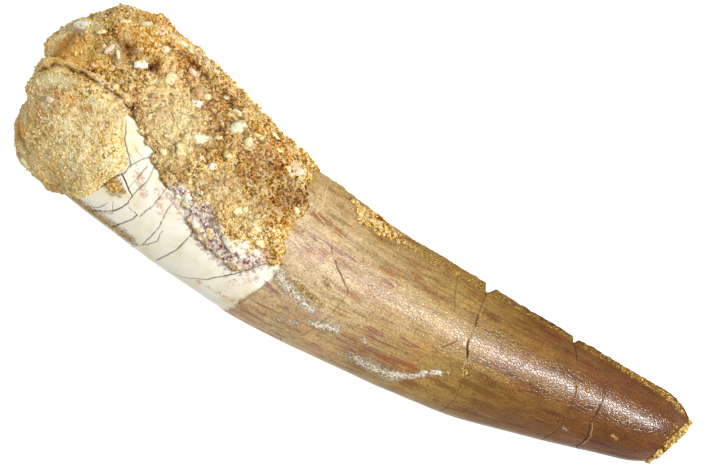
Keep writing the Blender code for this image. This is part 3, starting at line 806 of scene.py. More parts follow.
LAYER_SHADES = (
    (bands, ((0.32, 0.86), (0.5, 0.99), (0.68, 1.08))),
    (dashes, ((0.3, shade("#cab2a2")), (0.4, shade("#f2ebe4")), (0.5, 1.0), (0.72, 1.08))),
    (lone_lines, ((0.48, 1.0), (0.497, 0.76), (0.503, 0.76), (0.52, 1.0))),
    (speckle, ((0.3, shade("#c8b096")), (0.43, 0.98), (0.58, 1.02), (0.7, (1.5, 1.36, 1.1, 1.0)))),
    (pepper, ((0.3, shade("#b59a7e")), (0.42, 0.95), (0.56, 1.02), (0.7, (1.6, 1.45, 1.1, 1.0)))),
    (blotches, ((0.3, 0.8), (0.5, 1.0), (0.7, 1.12))),
    (clouds, ((0.34, shade("#d4b294")), (0.47, 1.0), (0.62, 1.06))),
)
for source, steps in LAYER_SHADES:
    level = add(tree, "ShaderNodeValToRGB", {0: source}, steps).outputs[0]
    enamel = add(
        tree, "ShaderNodeMix", {0: 0.85, 6: enamel, 7: level}, data_type="RGBA", blend_type="MULTIPLY"
    ).outputs[2]
print("growth lines and specks:", len(tree.nodes), "nodes so far")

# %% [markdown]
# Dentine: cream, mottled yellow and faintly grey.

# %% Dentine under the enamel
dentine_mottle = add(tree, "ShaderNodeTexNoise",
                     {"Vector": place, "Scale": 260.0, "Detail": 7.0}).outputs[0]
DENTINE_SHADES = (
    (0.28, shade("#dfd1a2")),
    (0.42, shade("#f2ead0")),
    (0.6, shade("#f9f5e4")),
    (0.75, shade("#edebda")),
)
dentine = add(tree, "ShaderNodeValToRGB", {0: dentine_mottle}, DENTINE_SHADES).outputs[0]
coated = add(tree, "ShaderNodeAttribute", attribute_name="enamel").outputs["Fac"]
colour = add(tree, "ShaderNodeMix", {0: coated, 6: dentine, 7: enamel}, data_type="RGBA").outputs[2]
print("dentine:", len(tree.nodes), "nodes so far")

# %% [markdown]
# Stains and films, each broken up by noise: attribute, colour, noise, how ragged, and how opaque.

# %% Stains and films
crumbly = add(
    tree, "ShaderNodeTexNoise", {"Vector": place, "Scale": 1700.0, "Detail": 6.0, "Roughness": 0.7}
).outputs[0]
crumbs = add(
    tree, "ShaderNodeTexNoise", {"Vector": place, "Scale": 3400.0, "Detail": 4.0, "Roughness": 0.8}
).outputs[0]
STAIN_LAYERS = (
    ("plum", "#7c4e4c", dashes, 2.6, 0.68),
    ("rust", "#985322", dashes, 2.3, 0.8),
    ("umber", "#643a10", clouds, 2.2, 0.62),
    ("blush", "#c98d6c", crumbly, 2.4, 0.6),
    ("purple", "#9c7276", crumbly, 2.8, 0.62),
    ("pink_film", "#b58d92", crumbs, 2.8, 0.85),
    ("film", "#f0e4cf", crumbs, 2.4, 0.97),
    ("sand", "#d3a040", crumbs, 3.2, 0.92),
)
# The last layer is the cracks' and notches' dark fill and painted shade, and the painted shadow under the lump's
# edge
LINE_LAYERS = (("crack_sand", "#e9c896", 0.95), ("dark_fill_and_shade", "#2e1c0b", 1.0))
grip = {}
for name, code, breaking, raggedness, cover in STAIN_LAYERS:
    amount = add(tree, "ShaderNodeAttribute", attribute_name=name).outputs["Fac"]
    broken = add(tree, "ShaderNodeMath", {0: breaking, 1: 0.5}, operation="SUBTRACT").outputs[0]
    reach = add(tree, "ShaderNodeMath", {0: amount, 1: 3.5}, operation="MULTIPLY",
                use_clamp=True).outputs[0]
    broken = add(tree, "ShaderNodeMath", {0: broken, 1: reach}, operation="MULTIPLY").outputs[0]
    spread = add(
        tree, "ShaderNodeMath", {0: broken, 1: raggedness, 2: amount}, operation="MULTIPLY_ADD"
    ).outputs[0]
    present = add(
        tree, "ShaderNodeMapRange", {0: spread, 1: 0.3, 2: 0.62, 4: cover}, interpolation_type="SMOOTHSTEP"
    ).outputs[0]
    grip[name] = present
    colour = add(tree, "ShaderNodeMix", {0: present, 6: colour, 7: shade(code)},
                 data_type="RGBA").outputs[2]

# Sand films are speckled gold, brown and cream, and mineral films grey, pinkish and white
GOLD_SPECKS = ((0.34, shade("#77501a")), (0.44, shade("#b9862f")), (0.54, shade("#d9aa4c")),
               (0.64, shade("#f4e0a4")))
FILM_SPECKS = ((0.36, shade("#a88565")), (0.45, shade("#dfcaa9")), (0.53, shade("#f1e6d2")),
               (0.62, shade("#fcf6e8")))
for name, stops in (("sand", GOLD_SPECKS), ("film", FILM_SPECKS)):
    specks = add(tree, "ShaderNodeValToRGB", {0: speckle}, stops).outputs[0]
    colour = add(tree, "ShaderNodeMix", {0: grip[name], 6: colour, 7: specks}, data_type="RGBA").outputs[2]
for name, code, cover in LINE_LAYERS:
    amount = add(tree, "ShaderNodeAttribute", attribute_name=name).outputs["Fac"]
    broken = add(tree, "ShaderNodeMath", {0: crumbly, 1: 1.3, 2: 0.45}, operation="MULTIPLY_ADD").outputs[0]
    present = add(tree, "ShaderNodeMath", {0: amount, 1: broken}, operation="MULTIPLY",
                  use_clamp=True).outputs[0]
    present = add(tree, "ShaderNodeMath", {0: present, 1: cover}, operation="MULTIPLY").outputs[0]
    colour = add(tree, "ShaderNodeMix", {0: present, 6: colour, 7: shade(code)},
                 data_type="RGBA").outputs[2]
print("stains and films:", len(tree.nodes), "nodes so far")

# %% [markdown]
# Polish: satin by the root, glossy at the tip, chalky on dentine and film.

# %% Polish
polish = add(tree, "ShaderNodeMapRange", {0: tipward, 3: 0.32, 4: 0.2}).outputs[0]
mottled_polish = add(tree, "ShaderNodeMath", {0: crumbly, 1: 0.14, 2: polish},
                     operation="MULTIPLY_ADD").outputs[0]
worn_polish = add(tree, "ShaderNodeMix", {0: keelward, 2: mottled_polish, 3: 0.8},
                  data_type="FLOAT").outputs[0]
on_tooth = add(tree, "ShaderNodeMix", {0: coated, 2: 0.72, 3: worn_polish}, data_type="FLOAT").outputs[0]
chalky = add(tree, "ShaderNodeMath", {0: grip["film"], 1: grip["sand"]}, operation="MAXIMUM").outputs[0]
roughness = add(tree, "ShaderNodeMix", {0: chalky, 2: on_tooth, 3: 0.9}, data_type="FLOAT").outputs[0]
print("polish:", len(tree.nodes), "nodes so far")

# %% [markdown]
# Veined grain: cells of about half a millimetre, with finer wrinkles between them, deeper on enamel than on dentine.

# %% Veined grain, gloss and the finished material
cells = add(
    tree, "ShaderNodeTexVoronoi", {"Vector": place, "Scale": 1900.0}, feature="DISTANCE_TO_EDGE"
).outputs[0]
creases = add(tree, "ShaderNodeMapRange", {0: cells, 2: 0.16}, interpolation_type="SMOOTHSTEP").outputs[0]
wrinkles = add(tree, "ShaderNodeTexNoise", {"Vector": place, "Scale": 3200.0, "Detail": 1.0}).outputs[0]
soft_wrinkles = add(tree, "ShaderNodeMath", {0: wrinkles, 1: 0.45}, operation="MULTIPLY").outputs[0]
grain = add(tree, "ShaderNodeMath", {0: creases, 1: 0.4, 2: soft_wrinkles},
            operation="MULTIPLY_ADD").outputs[0]
lined = add(tree, "ShaderNodeMath", {0: dashes, 1: 0.25, 2: grain}, operation="MULTIPLY_ADD").outputs[0]
depth_of_grain = add(tree, "ShaderNodeMapRange", {0: coated, 3: 0.35, 4: 1.0}).outputs[0]
grain_height = add(tree, "ShaderNodeMath", {0: lined, 1: depth_of_grain}, operation="MULTIPLY").outputs[0]
crumb_height = add(tree, "ShaderNodeMath", {0: crumbly, 1: chalky}, operation="MULTIPLY").outputs[0]
relief = add(tree, "ShaderNodeMath", {0: crumb_height, 1: 5.0, 2: grain_height},
             operation="MULTIPLY_ADD").outputs[0]
bump = add(tree, "ShaderNodeBump", {"Strength": 1.0, "Distance": 0.04 * MM, "Height": relief}).outputs[0]
rim = add(tree, "ShaderNodeMapRange", {0: parts.outputs[1], 1: -0.006, 2: -0.0096}).outputs[0]
flanks = add(tree, "ShaderNodeMath", {0: keelward, 1: rim}, operation="MAXIMUM").outputs[0]
glossy_side = add(tree, "ShaderNodeMapRange", {0: flanks, 3: 1.0, 4: 0.0}).outputs[0]
toward_tip = add(tree, "ShaderNodeMapRange", {0: tipward, 1: 0.15, 2: 0.9, 3: 0.06, 4: 0.5}).outputs[0]
gloss = add(tree, "ShaderNodeMath", {0: glossy_side, 1: toward_tip}, operation="MULTIPLY").outputs[0]
bare = add(tree, "ShaderNodeMath", {0: coated, 1: chalky}, operation="SUBTRACT", use_clamp=True).outputs[0]
gloss = add(tree, "ShaderNodeMath", {0: gloss, 1: bare}, operation="MULTIPLY").outputs[0]
surface = add(
    tree,
    "ShaderNodeBsdfPrincipled",
    {
        "Base Color": colour,
        "Roughness": roughness,
        "IOR": FOSSIL_INDEX,
        "Specular IOR Level": add(tree, "ShaderNodeMapRange", {0: flanks, 3: 0.3, 4: 0.08}).outputs[0],
        "Coat Weight": gloss,
        "Coat Roughness": 0.16,
        "Coat IOR": 1.5,
        "Coat Normal": bump,
        "Normal": bump,
    },
)
add(tree, "ShaderNodeOutputMaterial", {"Surface": surface.outputs[0]})
tooth.data.materials.append(tooth_material)
print("tooth material has", len(tree.nodes), "nodes")

# %% [markdown]
# ## Where the sandstone is
#
# The sandstone covers the root except for a window of bare dentine, and a crevice parts off one lump at the
# end. The edges are those of the solids, bent by noise, because set sand breaks off grain by grain. Where
# it meets the crown it thins to a film. The lump and the crust share the same noise along their crevice, so
# that its two walls stay parallel like the two sides of any crack.

# %% Edges and thickness of the sandstone
CREVICE = 0.6 * MM
CRUST_EDGE_ANGLE = (0, 30, 60, 90, 102, 150, 215, 240, 270, 300, 330, 360)
CRUST_EDGE_X = (-13.6, -13.4, -11.6, -11.4, -9.6, -9.0, -16.0, -21.0, -17.0, -20.0, -15.5, -13.6)
WINDOW = (
    (-4.0, 99.0), (-10.2, 100.0), (-12.6, 106.0), (-15.7, 121.0), (-19.0, 120.0), (-22.3, 117.5),
    (-25.0, 109.0), (-26.8, 104.0), (-30.4, 100.0), (-33.0, 95.0), (-34.8, 87.0), (-38.2, 81.5),
    (-40.2, 77.0), (-42.6, 72.0), (-48.0, 72.0), (-48.0, 226.0), (-40.0, 223.0), (-34.0, 229.0),
    (-28.0, 220.0), (-22.0, 226.0), (-16.0, 218.0), (-4.0, 214.0),
)  # fmt: skip
WINDOW_RADIUS = 12.5 * MM
LUMP_EDGE_ANGLE = (0, 60, 78, 87, 95, 102, 109, 119, 126, 135, 143, 158, 180, 200, 230, 270, 300, 360)
LUMP_EDGE_X = (
    *(-42.4, -42.4, -42.6, -41.6, -40.2, -38.4, -38.7, -40.1, -40.4),
    *(-41.5, -42.3, -44.2, -46.4, -47.0, -47.0, -45.0, -46.0, -42.4),
)
CREVICE_X = (-62.0, -58.0, -56.0, -52.0, -46.0, -38.0)
CREVICE_Y = (-2.6, -1.2, 0.9, 2.9, 3.0, 2.2)
CRUST_X = (-60.0, -54.0, -46.0, -42.0, -36.0, -28.0, -20.0, -12.0)
THICK_HOLLOW_EDGE = (4.2, 4.0, 6.4, 5.0, 3.2, 2.0, 0.6, 0.3)
THICK_TOP = (3.6, 3.0, 2.6, 2.4, 2.1, 1.6, 1.2, 0.9)
THICK_UNDER = (4.0, 4.2, 3.9, 3.8, 3.6, 3.2, 2.2, 1.3)
THICK_BULGING_EDGE = (4.0, 1.2, 0.4, 0.5, 0.8, 0.9, 0.9, 0.9)
THICK_END = 4.4 * MM
FEATHER_RAMP, EDGE_ROUNDING, LUMP_RAISE = 7.0 * MM, 1.6 * MM, 0.6 * MM
SEATING = 0.3 * MM
MAUVE_BAND = (
    (1.3, 0.9, ((-29.6, -4.6), (-27.0, -5.4), (-24.0, -6.8), (-21.5, -8.0), (-18.5, -9.2), (-15.5, -8.6),
                (-13.6, -7.2))),
    (0.9, 0.8, ((-24.6, -4.6), (-22.4, -6.2), (-20.6, -7.6))),
)
KNOBS = (
    ((-47.0, 14.0, 21.0), 6.5, 1.1),
    ((-55.5, 10.5, 16.0), 4.5, 0.9),
    ((-55.5, 4.8, 17.0), 3.0, -1.7),
    ((-54.8, 3.8, 11.0), 3.4, 1.3),
    ((-54.9, -2.2, 14.0), 4.2, -2.2),
    ((-52.5, -11.0, 12.0), 4.0, 0.9),
    ((-36.0, 12.5, 18.0), 4.0, 0.7),
    ((-31.0, 13.0, 10.0), 3.5, 0.6),
    ((-49.0, 6.0, 25.5), 5.0, 0.6),
    ((-40.0, 6.5, 24.5), 4.2, -0.8),
    ((-50.0, 15.0, 8.0), 6.0, -1.2),
    ((-44.0, -7.0, 24.0), 4.0, 0.5),
    ((-52.5, 15.0, 13.0), 5.5, -1.1),
)
LUMPY_SIZES = ((7.5 * MM, 1.3 * MM), (3.2 * MM, 0.8 * MM))


def distance_into(flat, corners):
    """Signed distance from each flat place to a closed outline, positive inside it."""
    starts = np.array(corners, float)
    nearest, _ = distance_to(flat, np.vstack((starts, starts[:1])))
    inside = np.zeros(len(flat), bool)
    for start, end in zip(starts, np.roll(starts, -1, axis=0)):
        level = (start[1] > flat[:, 1]) != (end[1] > flat[:, 1])
        rise = end[1] - start[1] if end[1] != start[1] else 1.0
        inside ^= level & (flat[:, 0] < start[0] + (flat[:, 1] - start[1]) * (end[0] - start[0]) / rise)
    return np.where(inside, nearest, -nearest)


def into_window(points):
    angle, _ = place_on_section(points)
    flat = np.stack((points[:, 0], (angle % (2 * math.pi)) * WINDOW_RADIUS), axis=1)
    return distance_into(flat, [(x * MM, math.radians(turn) * WINDOW_RADIUS) for x, turn in WINDOW])


def into_lump(points):
    angle, _ = place_on_section(points)
    below_crevice = smooth_curve(points[:, 0], CREVICE_X, CREVICE_Y) - points[:, 1]
    behind_edge = by_angle(angle, LUMP_EDGE_ANGLE, LUMP_EDGE_X) - points[:, 0]
    wandering = bumps(points, 2.4 * MM) * 0.35 * MM + bumps(points, 0.9 * MM) * 0.22 * MM
    return np.minimum(below_crevice, behind_edge) + wandering


def into_crust_edge(points):
    """How far each point lies behind the crust's edges on the crown and on the dentine."""
    angle, _ = place_on_section(points)
    behind_edge = by_angle(angle, CRUST_EDGE_ANGLE, CRUST_EDGE_X) - points[:, 0]
    crumbling = bumps(points, 2.8 * MM) * 0.9 * MM + bumps(points, 0.9 * MM) * 0.45 * MM
    return np.minimum(behind_edge, -into_window(points)) + crumbling


def into_crust(points):
    return np.minimum(into_crust_edge(points), -into_lump(points) - CREVICE)


def line_paint(points, rows):
    """Soft strokes seen from above, as rows of half width in mm, strength and (x, y) corners."""
    total = np.zeros(len(points))
    bend = np.stack((bumps(points, 1.6 * MM), bumps(points + 0.5, 1.6 * MM)), axis=1) * 0.5 * MM
    fade = ramp((points[:, 2] - 5 * MM) / (4 * MM))
    for half_width, strength, corners in rows:
        distance, _ = distance_to(points[:, :2] + bend, np.array(corners) * MM)
        total = np.maximum(total, strength * np.exp(-((distance / (half_width * MM)) ** 2)) * fade)
    return total


def lumpiness(points):
    """The sandstone's uneven surface: the solids' own swells and knobs, and one more dip."""
    height = np.zeros(len(points))
    for size, rise in LUMPY_SIZES:
        height += rise * bumps(points, size)
    for centre, radius, rise in KNOBS:
        away = np.linalg.norm(points - np.array(centre) * MM, axis=1)
        height += rise * MM * np.exp(-((away / (radius * MM)) ** 2))
    return height


def root_thickness(points):
    """Full thickness of the sandstone over each point of the root, away from its edges."""
    angle, share = place_on_section(points)
    x = points[:, 0]
    across, up = np.cos(angle), np.sin(angle)
    side = (
        smooth_curve(x, CRUST_X, THICK_HOLLOW_EDGE) * np.maximum(across, 0) ** 2
        + smooth_curve(x, CRUST_X, THICK_BULGING_EDGE) * np.maximum(-across, 0) ** 2
        + smooth_curve(x, CRUST_X, THICK_TOP) * np.maximum(up, 0) ** 2
        + smooth_curve(x, CRUST_X, THICK_UNDER) * np.maximum(-up, 0) ** 2
    )
    return THICK_END + (side - THICK_END) * share**2


def edge_dip(depth_inside):
    """How much the surface drops as it rounds over towards an edge."""
    short = 1.0 - np.clip(depth_inside / EDGE_ROUNDING, 0.0, 1.0)
    return EDGE_ROUNDING * 0.5 * (1.0 - np.sqrt(1.0 - short**2))


def crust_height(points):
    inside = into_crust_edge(points)
    grown = 0.25 + 0.75 * ramp(inside / FEATHER_RAMP)
    full = (root_thickness(points) + lumpiness(points)) * grown - edge_dip(-into_lump(points) - CREVICE)
    stained = line_paint(points, MAUVE_BAND) * 0.6
    edge = 0.12 + 0.88 * ramp(inside / (1.3 * MM))
    return (np.maximum(full, 0.25 * MM) + SEATING) * edge * (1 - stained)


def lump_height(points):
    angle, _ = place_on_section(points)
    full = root_thickness(points) + lumpiness(points) + LUMP_RAISE * np.maximum(np.sin(angle), 0.0)
    low_side = ramp((np.degrees(angle) % 360 - 138) / 24) * ramp((235 - np.degrees(angle) % 360) / 20)
    thinned = 1 - 0.9 * low_side * ramp((points[:, 0] + 48.5 * MM) / (3.5 * MM))
    return (np.maximum(full - edge_dip(into_lump(points)), 0.3 * MM) + SEATING) * thinned


# %% [markdown]
# ## Growing a layer of sand on the tooth
#
# Each piece of sandstone starts as the part of the grid that lies inside its edge line. The line is cut
# exactly, so the outline has no stair steps. The faces are then extruded: the lower copy stays just under
# the tooth's surface and the upper one is raised. The walls get rows of their own, because the crevice and
# the lump's ledge show them. Last, everything but the lower copy is roughened along its own normals.

# %% Cutting the grid and extruding it
ROOTED = 0.06 * MM
WALL_MIN, WALL_CUTS = 0.7 * MM, 7
LEDGES = (
    (0.7, 0.7, ((-57.9, 2.5), (-58.4, 5.3), (-58.2, 6.8), (-57.1, 8.7), (-56.0, 10.1), (-53.3, 10.8))),
    (-0.5, 1.0, ((-56.8, 3.2), (-56.8, 5.0), (-56.0, 7.4), (-53.7, 9.7))),
    (0.5, 0.5, ((-46.7, 15.5), (-43.2, 15.6), (-40.1, 15.4), (-37.6, 15.1), (-35.0, 14.4))),
    (-0.7, 0.55, ((-43.9, 13.9), (-41.9, 14.0), (-37.8, 13.7), (-34.5, 12.5), (-31.7, 12.2), (-27.6, 10.1),
                  (-23.1, 9.1))),
    (0.4, 0.5, ((-41.0, 13.0), (-38.8, 13.1), (-36.2, 12.6), (-33.5, 11.7))),
    (-0.7, 0.6, ((-57.8, -4.1), (-57.7, -6.6), (-56.9, -8.9), (-55.0, -10.5), (-52.8, -11.4))),
    (0.4, 1.0, ((-57.0, -2.5), (-56.1, -0.5), (-53.8, 1.3), (-51.4, 1.6), (-48.5, 1.7), (-45.0, 1.4))),
    (-1.1, 0.6, ((-43.9, 9.4), (-42.8, 9.7), (-41.4, 9.1))),
    (0.5, 0.5, ((-50.3, 7.8), (-49.5, 10.1), (-48.4, 9.5), (-47.6, 7.9))),
    (-0.5, 1.2, ((-47.4, 10.3), (-46.0, 9.6))),
)


def snap_to_contour(bm, layer):
    """Moves a vertex that is close to the zero line onto it, so that the cut leaves no slivers."""
    for vert in bm.verts:
        best = 0.25
        target = None
        for edge in vert.link_edges:
            other = edge.other_vert(vert)
            if vert[layer] * other[layer] < 0:
                share = vert[layer] / (vert[layer] - other[layer])
                if share < best:
                    best = share
                    target = vert.co.lerp(other.co, share)
        if target is not None:
            vert.co = target
            vert[layer] = 0.0


def keep_inside(bm, depth_inside):
    """Cuts the mesh along the line where depth_inside is zero and keeps the side where it is positive."""
    layer = bm.verts.layers.float.new("inside")
    for vert, value in zip(bm.verts, depth_inside):
        vert[layer] = value
    snap_to_contour(bm, layer)
    crossing = [e for e in bm.edges if e.verts[0][layer] * e.verts[1][layer] < 0]
    for edge in crossing:
        first, second = edge.verts
        _, made = bmesh.utils.edge_split(edge, first, first[layer] / (first[layer] - second[layer]))
        made[layer] = 0.0
    on_line = {v for v in bm.verts if v[layer] == 0.0}
    for face in list(bm.faces):
        corners = [v for v in face.verts if v in on_line]
        values = [v[layer] for v in face.verts]
        if len(corners) == 2 and min(values) < 0 < max(values):
            bmesh.utils.face_split(face, corners[0], corners[1])
    outside = [f for f in bm.faces if min(f.verts, key=lambda v: v[layer])[layer] < 0]
    bmesh.ops.delete(bm, geom=outside, context="FACES")


def roughened(points, octaves):
    """Heights of broken, gritty stone: rounded clumps of several sizes, with creases between them."""
    height = np.zeros(len(points))
    for size, rise in octaves:
        height += rise * MM * (np.minimum(3.0 * np.abs(bumps(points, size * MM)), 1.0) - 0.3)
    return height


def ledges(points):
    """Height of the long ridges and grooves of the sandstone's upper side."""
    height = np.zeros(len(points))
    fade = ramp((points[:, 2] - 8 * MM) / (4 * MM))
    bend = np.stack((bumps(points, 2 * MM), bumps(points + 0.5, 2 * MM)), axis=1) * 0.4 * MM
    for rise, half_width, corners in LEDGES:
        distance, _ = distance_to(points[:, :2] + bend, np.array(corners) * MM)
        height += rise * MM * np.exp(-((distance / (half_width * MM)) ** 2)) * fade
    return height


def sand_layer(name, bm, depth_inside, height_of, octaves, replaced, straight_out=None):
    """A closed, gritty layer over the part of the grid where depth_inside is positive."""
    out = bm.verts.layers.float_vector.new("out")
    held = bm.verts.layers.int.new("held")
    number = bm.verts.layers.int.new("number")
    for vert in bm.verts:
        vert[out] = vert.normal if straight_out is None else straight_out
    keep_inside(bm, depth_inside)
    out = bm.verts.layers.float_vector["out"]
    held = bm.verts.layers.int["held"]
    number = bm.verts.layers.int["number"]
    points = vertex_places(bm)
    outward = np.array([v[out] for v in bm.verts])
    outward /= np.linalg.norm(outward, axis=1)[:, None]
    inner = points - outward * ROOTED
    outer = points + outward * height_of(points)[:, None]
    for i, vert in enumerate(bm.verts):
        vert[number] = i
    extruded = bmesh.ops.extrude_face_region(bm, geom=list(bm.faces), use_keep_orig=True)
    for part in extruded["geom"]:
        if isinstance(part, bmesh.types.BMVert):
            part[number] += len(points)
    fix_order(bm, [v[number] for v in bm.verts])
    bm.verts.ensure_lookup_table()
    uprights = []
    for i, (low, high) in enumerate(zip(inner, outer)):
        vert, top = bm.verts[i], bm.verts[len(points) + i]
        top.co = high
        vert.co = low
        vert[held] = 1
        joined = bm.edges.get((vert, top))
        if joined is not None and joined.calc_length() > WALL_MIN:
            uprights.append(joined)
    if uprights:
        made = bmesh.ops.subdivide_edges(bm, edges=uprights, cuts=WALL_CUTS, use_grid_fill=True)
        for part in made["geom_inner"]:
            if isinstance(part, bmesh.types.BMVert):
                part[held] = 0
    face_outwards(bm)
    places = vertex_places(bm)
    normals = np.array([v.normal for v in bm.verts])
    free = np.array([1 - v[held] for v in bm.verts], float)
    grit = roughened(places, octaves)
    tall = sum(rise for _, rise in octaves) * MM
    places += normals * ((grit + ledges(places)) * free)[:, None]
    places[:, 2] = np.maximum(places[:, 2], 0.0)
    for vert, co in zip(bm.verts, places):
        vert.co = co
    piece = new_piece(name, bm, replaced)
    set_values(piece.data, "lower_side", 1 - free)
    # The grit's height is kept for the material, which paints shade in its hollows and light on its peaks
    set_values(piece.data, "grit", grit / tall + 0.3)
    print(name, triangle_count(piece), "triangles")
    return piece


# %% Crust and lump
CRUST_OCTAVES = ((2.8, 0.42), (1.4, 0.34), (0.75, 0.24))
LUMP_OCTAVES = ((2.4, 0.2), (1.1, 0.2), (0.6, 0.14))
crust_grid = tooth_grid(216, 2.0, 26, ((-47.0, -7.0, 0.34), (-7.0, 52.0, 12.0)))
crust = sand_layer(
    "gritty_crust",
    crust_grid,
    into_crust(vertex_places(crust_grid)),
    crust_height,
    CRUST_OCTAVES,
    ["root_crust"],
)
lump_grid = tooth_grid(216, 2.0, 28, ((-47.0, -35.0, 0.34), (-35.0, 52.0, 15.0)))
lump = sand_layer(
    "gritty_lump",
    lump_grid,
    into_lump(vertex_places(lump_grid)),
    lump_height,
    LUMP_OCTAVES,
    ["root_lump"],
)

# %% The patches of sand on the keel and on the broken tip
RIDGE_PATCH_X, RIDGE_PATCH_ANGLE = -1.0 * MM, math.radians(21.0)
RIDGE_PATCH_HALF_LENGTH, RIDGE_PATCH_HALF_GIRTH = 4.7 * MM, 2.9 * MM
PATCH_OCTAVES = ((1.1, 0.16), (0.5, 0.12))


def into_ridge_patch(points):
    angle, _ = place_on_section(points)
    away = (angle - RIDGE_PATCH_ANGLE + math.pi) % (2 * math.pi) - math.pi
    along = (points[:, 0] - RIDGE_PATCH_X) / RIDGE_PATCH_HALF_LENGTH
    across = away * WINDOW_RADIUS / RIDGE_PATCH_HALF_GIRTH
    crumbling = bumps(points, 1.3 * MM) * 0.35 + bumps(points, 0.6 * MM) * 0.2
    return (1.0 - np.hypot(along, across) + crumbling) * RIDGE_PATCH_HALF_GIRTH


def ridge_patch_height(points):
    return 0.12 * MM + 0.7 * MM * ramp(into_ridge_patch(points) / RIDGE_PATCH_HALF_GIRTH * 1.3)


def tip_patch_height(points):
    low_end = ramp((-points[:, 1] - 0.5 * MM) / (3 * MM))
    return (0.75 * MM + 0.35 * MM * bumps(points, 1.4 * MM)) * (1 - 0.5 * low_end)


ridge_grid = tooth_grid(300, 2.0, 8, ((-47.0, -9.0, 6.0), (-9.0, 9.0, 0.25), (9.0, 52.0, 8.0)))
ridge_sand = sand_layer(
    "ridge_grit",
    ridge_grid,
    into_ridge_patch(vertex_places(ridge_grid)),
    ridge_patch_height,
    PATCH_OCTAVES,
    ["ridge_patch"],
)
tip_grid = tooth_grid(90, 0.3, 8, ((-47.0, 44.0, 8.0), (44.0, 52.0, 0.4)))
beyond = tip_grid.verts.layers.float["beyond"]
past_break = np.array([v[beyond] for v in tip_grid.verts]) + 0.15 * MM
tip_sand = sand_layer(
    "tip_grit",
    tip_grid,
    past_break + bumps(vertex_places(tip_grid), 1.0 * MM) * 0.12 * MM,
    tip_patch_height,
    PATCH_OCTAVES,
    ["tip_patch"],
    BREAK_NORMAL,
)

# %% [markdown]
# ## Colours of the sandstone
#
# Iron-rich water dyed the sand unevenly: rusty orange in the hollows at the root's end, pale straw in the
# middle and on the lump, and purple brown towards the crown. As on the tooth, soft spots seen from above
# are stored at the vertices, and broad noise colours the sides that the spots don't reach. Dark strokes
# paint shade into the crevice and grooves, and gold spots also lighten shaded places as painted light.

# %% Spots of colour on the sandstone, as x, y, radius in mm, and strength
SPOTS = {
    "rusty": (
        (-57.0, 4.9, 2.0, 0.75), (-55.6, 7.6, 1.6, 0.7), (-48.0, 13.0, 6.0, 0.3), (-51.0, 4.0, 3.0, 0.4),
        (-40.0, 12.5, 5.0, 0.35), (-30.0, 11.0, 4.0, 0.4), (-51.3, -1.1, 1.6, 0.7), (-56.6, -9.0, 2.0, 0.6),
        (-42.6, 3.8, 3.0, 0.4), (-20.0, 9.6, 3.0, 0.5), (-14.0, 0.0, 2.5, 0.35), (-46.0, -3.0, 3.5, 0.25),
        (-55.4, -5.0, 2.5, 0.4),
    ),
    "pale": (
        (-36.0, 4.2, 6.0, 0.6), (-33.0, 1.5, 4.0, 0.55), (-39.0, 8.0, 4.0, 0.3), (-47.0, -4.5, 4.5, 0.5),
        (-45.0, -9.0, 5.0, 0.45), (-53.8, -3.3, 1.8, 0.7), (-50.0, -9.5, 3.0, 0.3), (-24.0, -1.0, 3.5, 0.4),
        (-19.0, -2.5, 3.5, 0.35), (-43.0, 0.5, 2.0, 0.7), (-55.8, 9.8, 1.6, 0.9), (-44.5, -13.5, 3.0, 0.5),
        (-52.0, -13.0, 3.5, 0.5), (-57.0, -6.0, 2.5, 0.35),
    ),
    # Partly painted light: the gold spots are golden sand, and also lighten the shaded hollow at the root's end and
    # the lump's low side
    "gold_and_painted_light": (
        (-56.6, 5.0, 3.4, 1.0), (-55.0, 8.6, 3.0, 0.9), (-52.6, 6.0, 3.0, 0.6), (-57.2, 2.4, 2.4, 1.0),
        (-48.0, 13.4, 3.5, 0.4), (-50.0, -12.5, 4.0, 0.6), (-45.0, -13.5, 4.0, 0.6),
        (-56.0, -9.0, 2.5, 0.5),
    ),
    "purple": (
        (-47.4, 10.3, 1.8, 1.0), (-43.0, 10.4, 1.2, 0.8), (-21.0, 4.6, 4.5, 0.65), (-15.0, 3.0, 3.5, 0.75),
        (-12.5, 4.5, 2.0, 0.9), (-28.0, 6.0, 3.5, 0.5), (-33.0, 10.4, 2.5, 0.5), (-38.0, 13.0, 2.0, 0.5),
        (-50.5, 8.0, 2.5, 0.15), (-18.0, 0.8, 2.5, 0.5), (-26.0, -0.5, 1.6, 0.5),
    ),
}  # fmt: skip


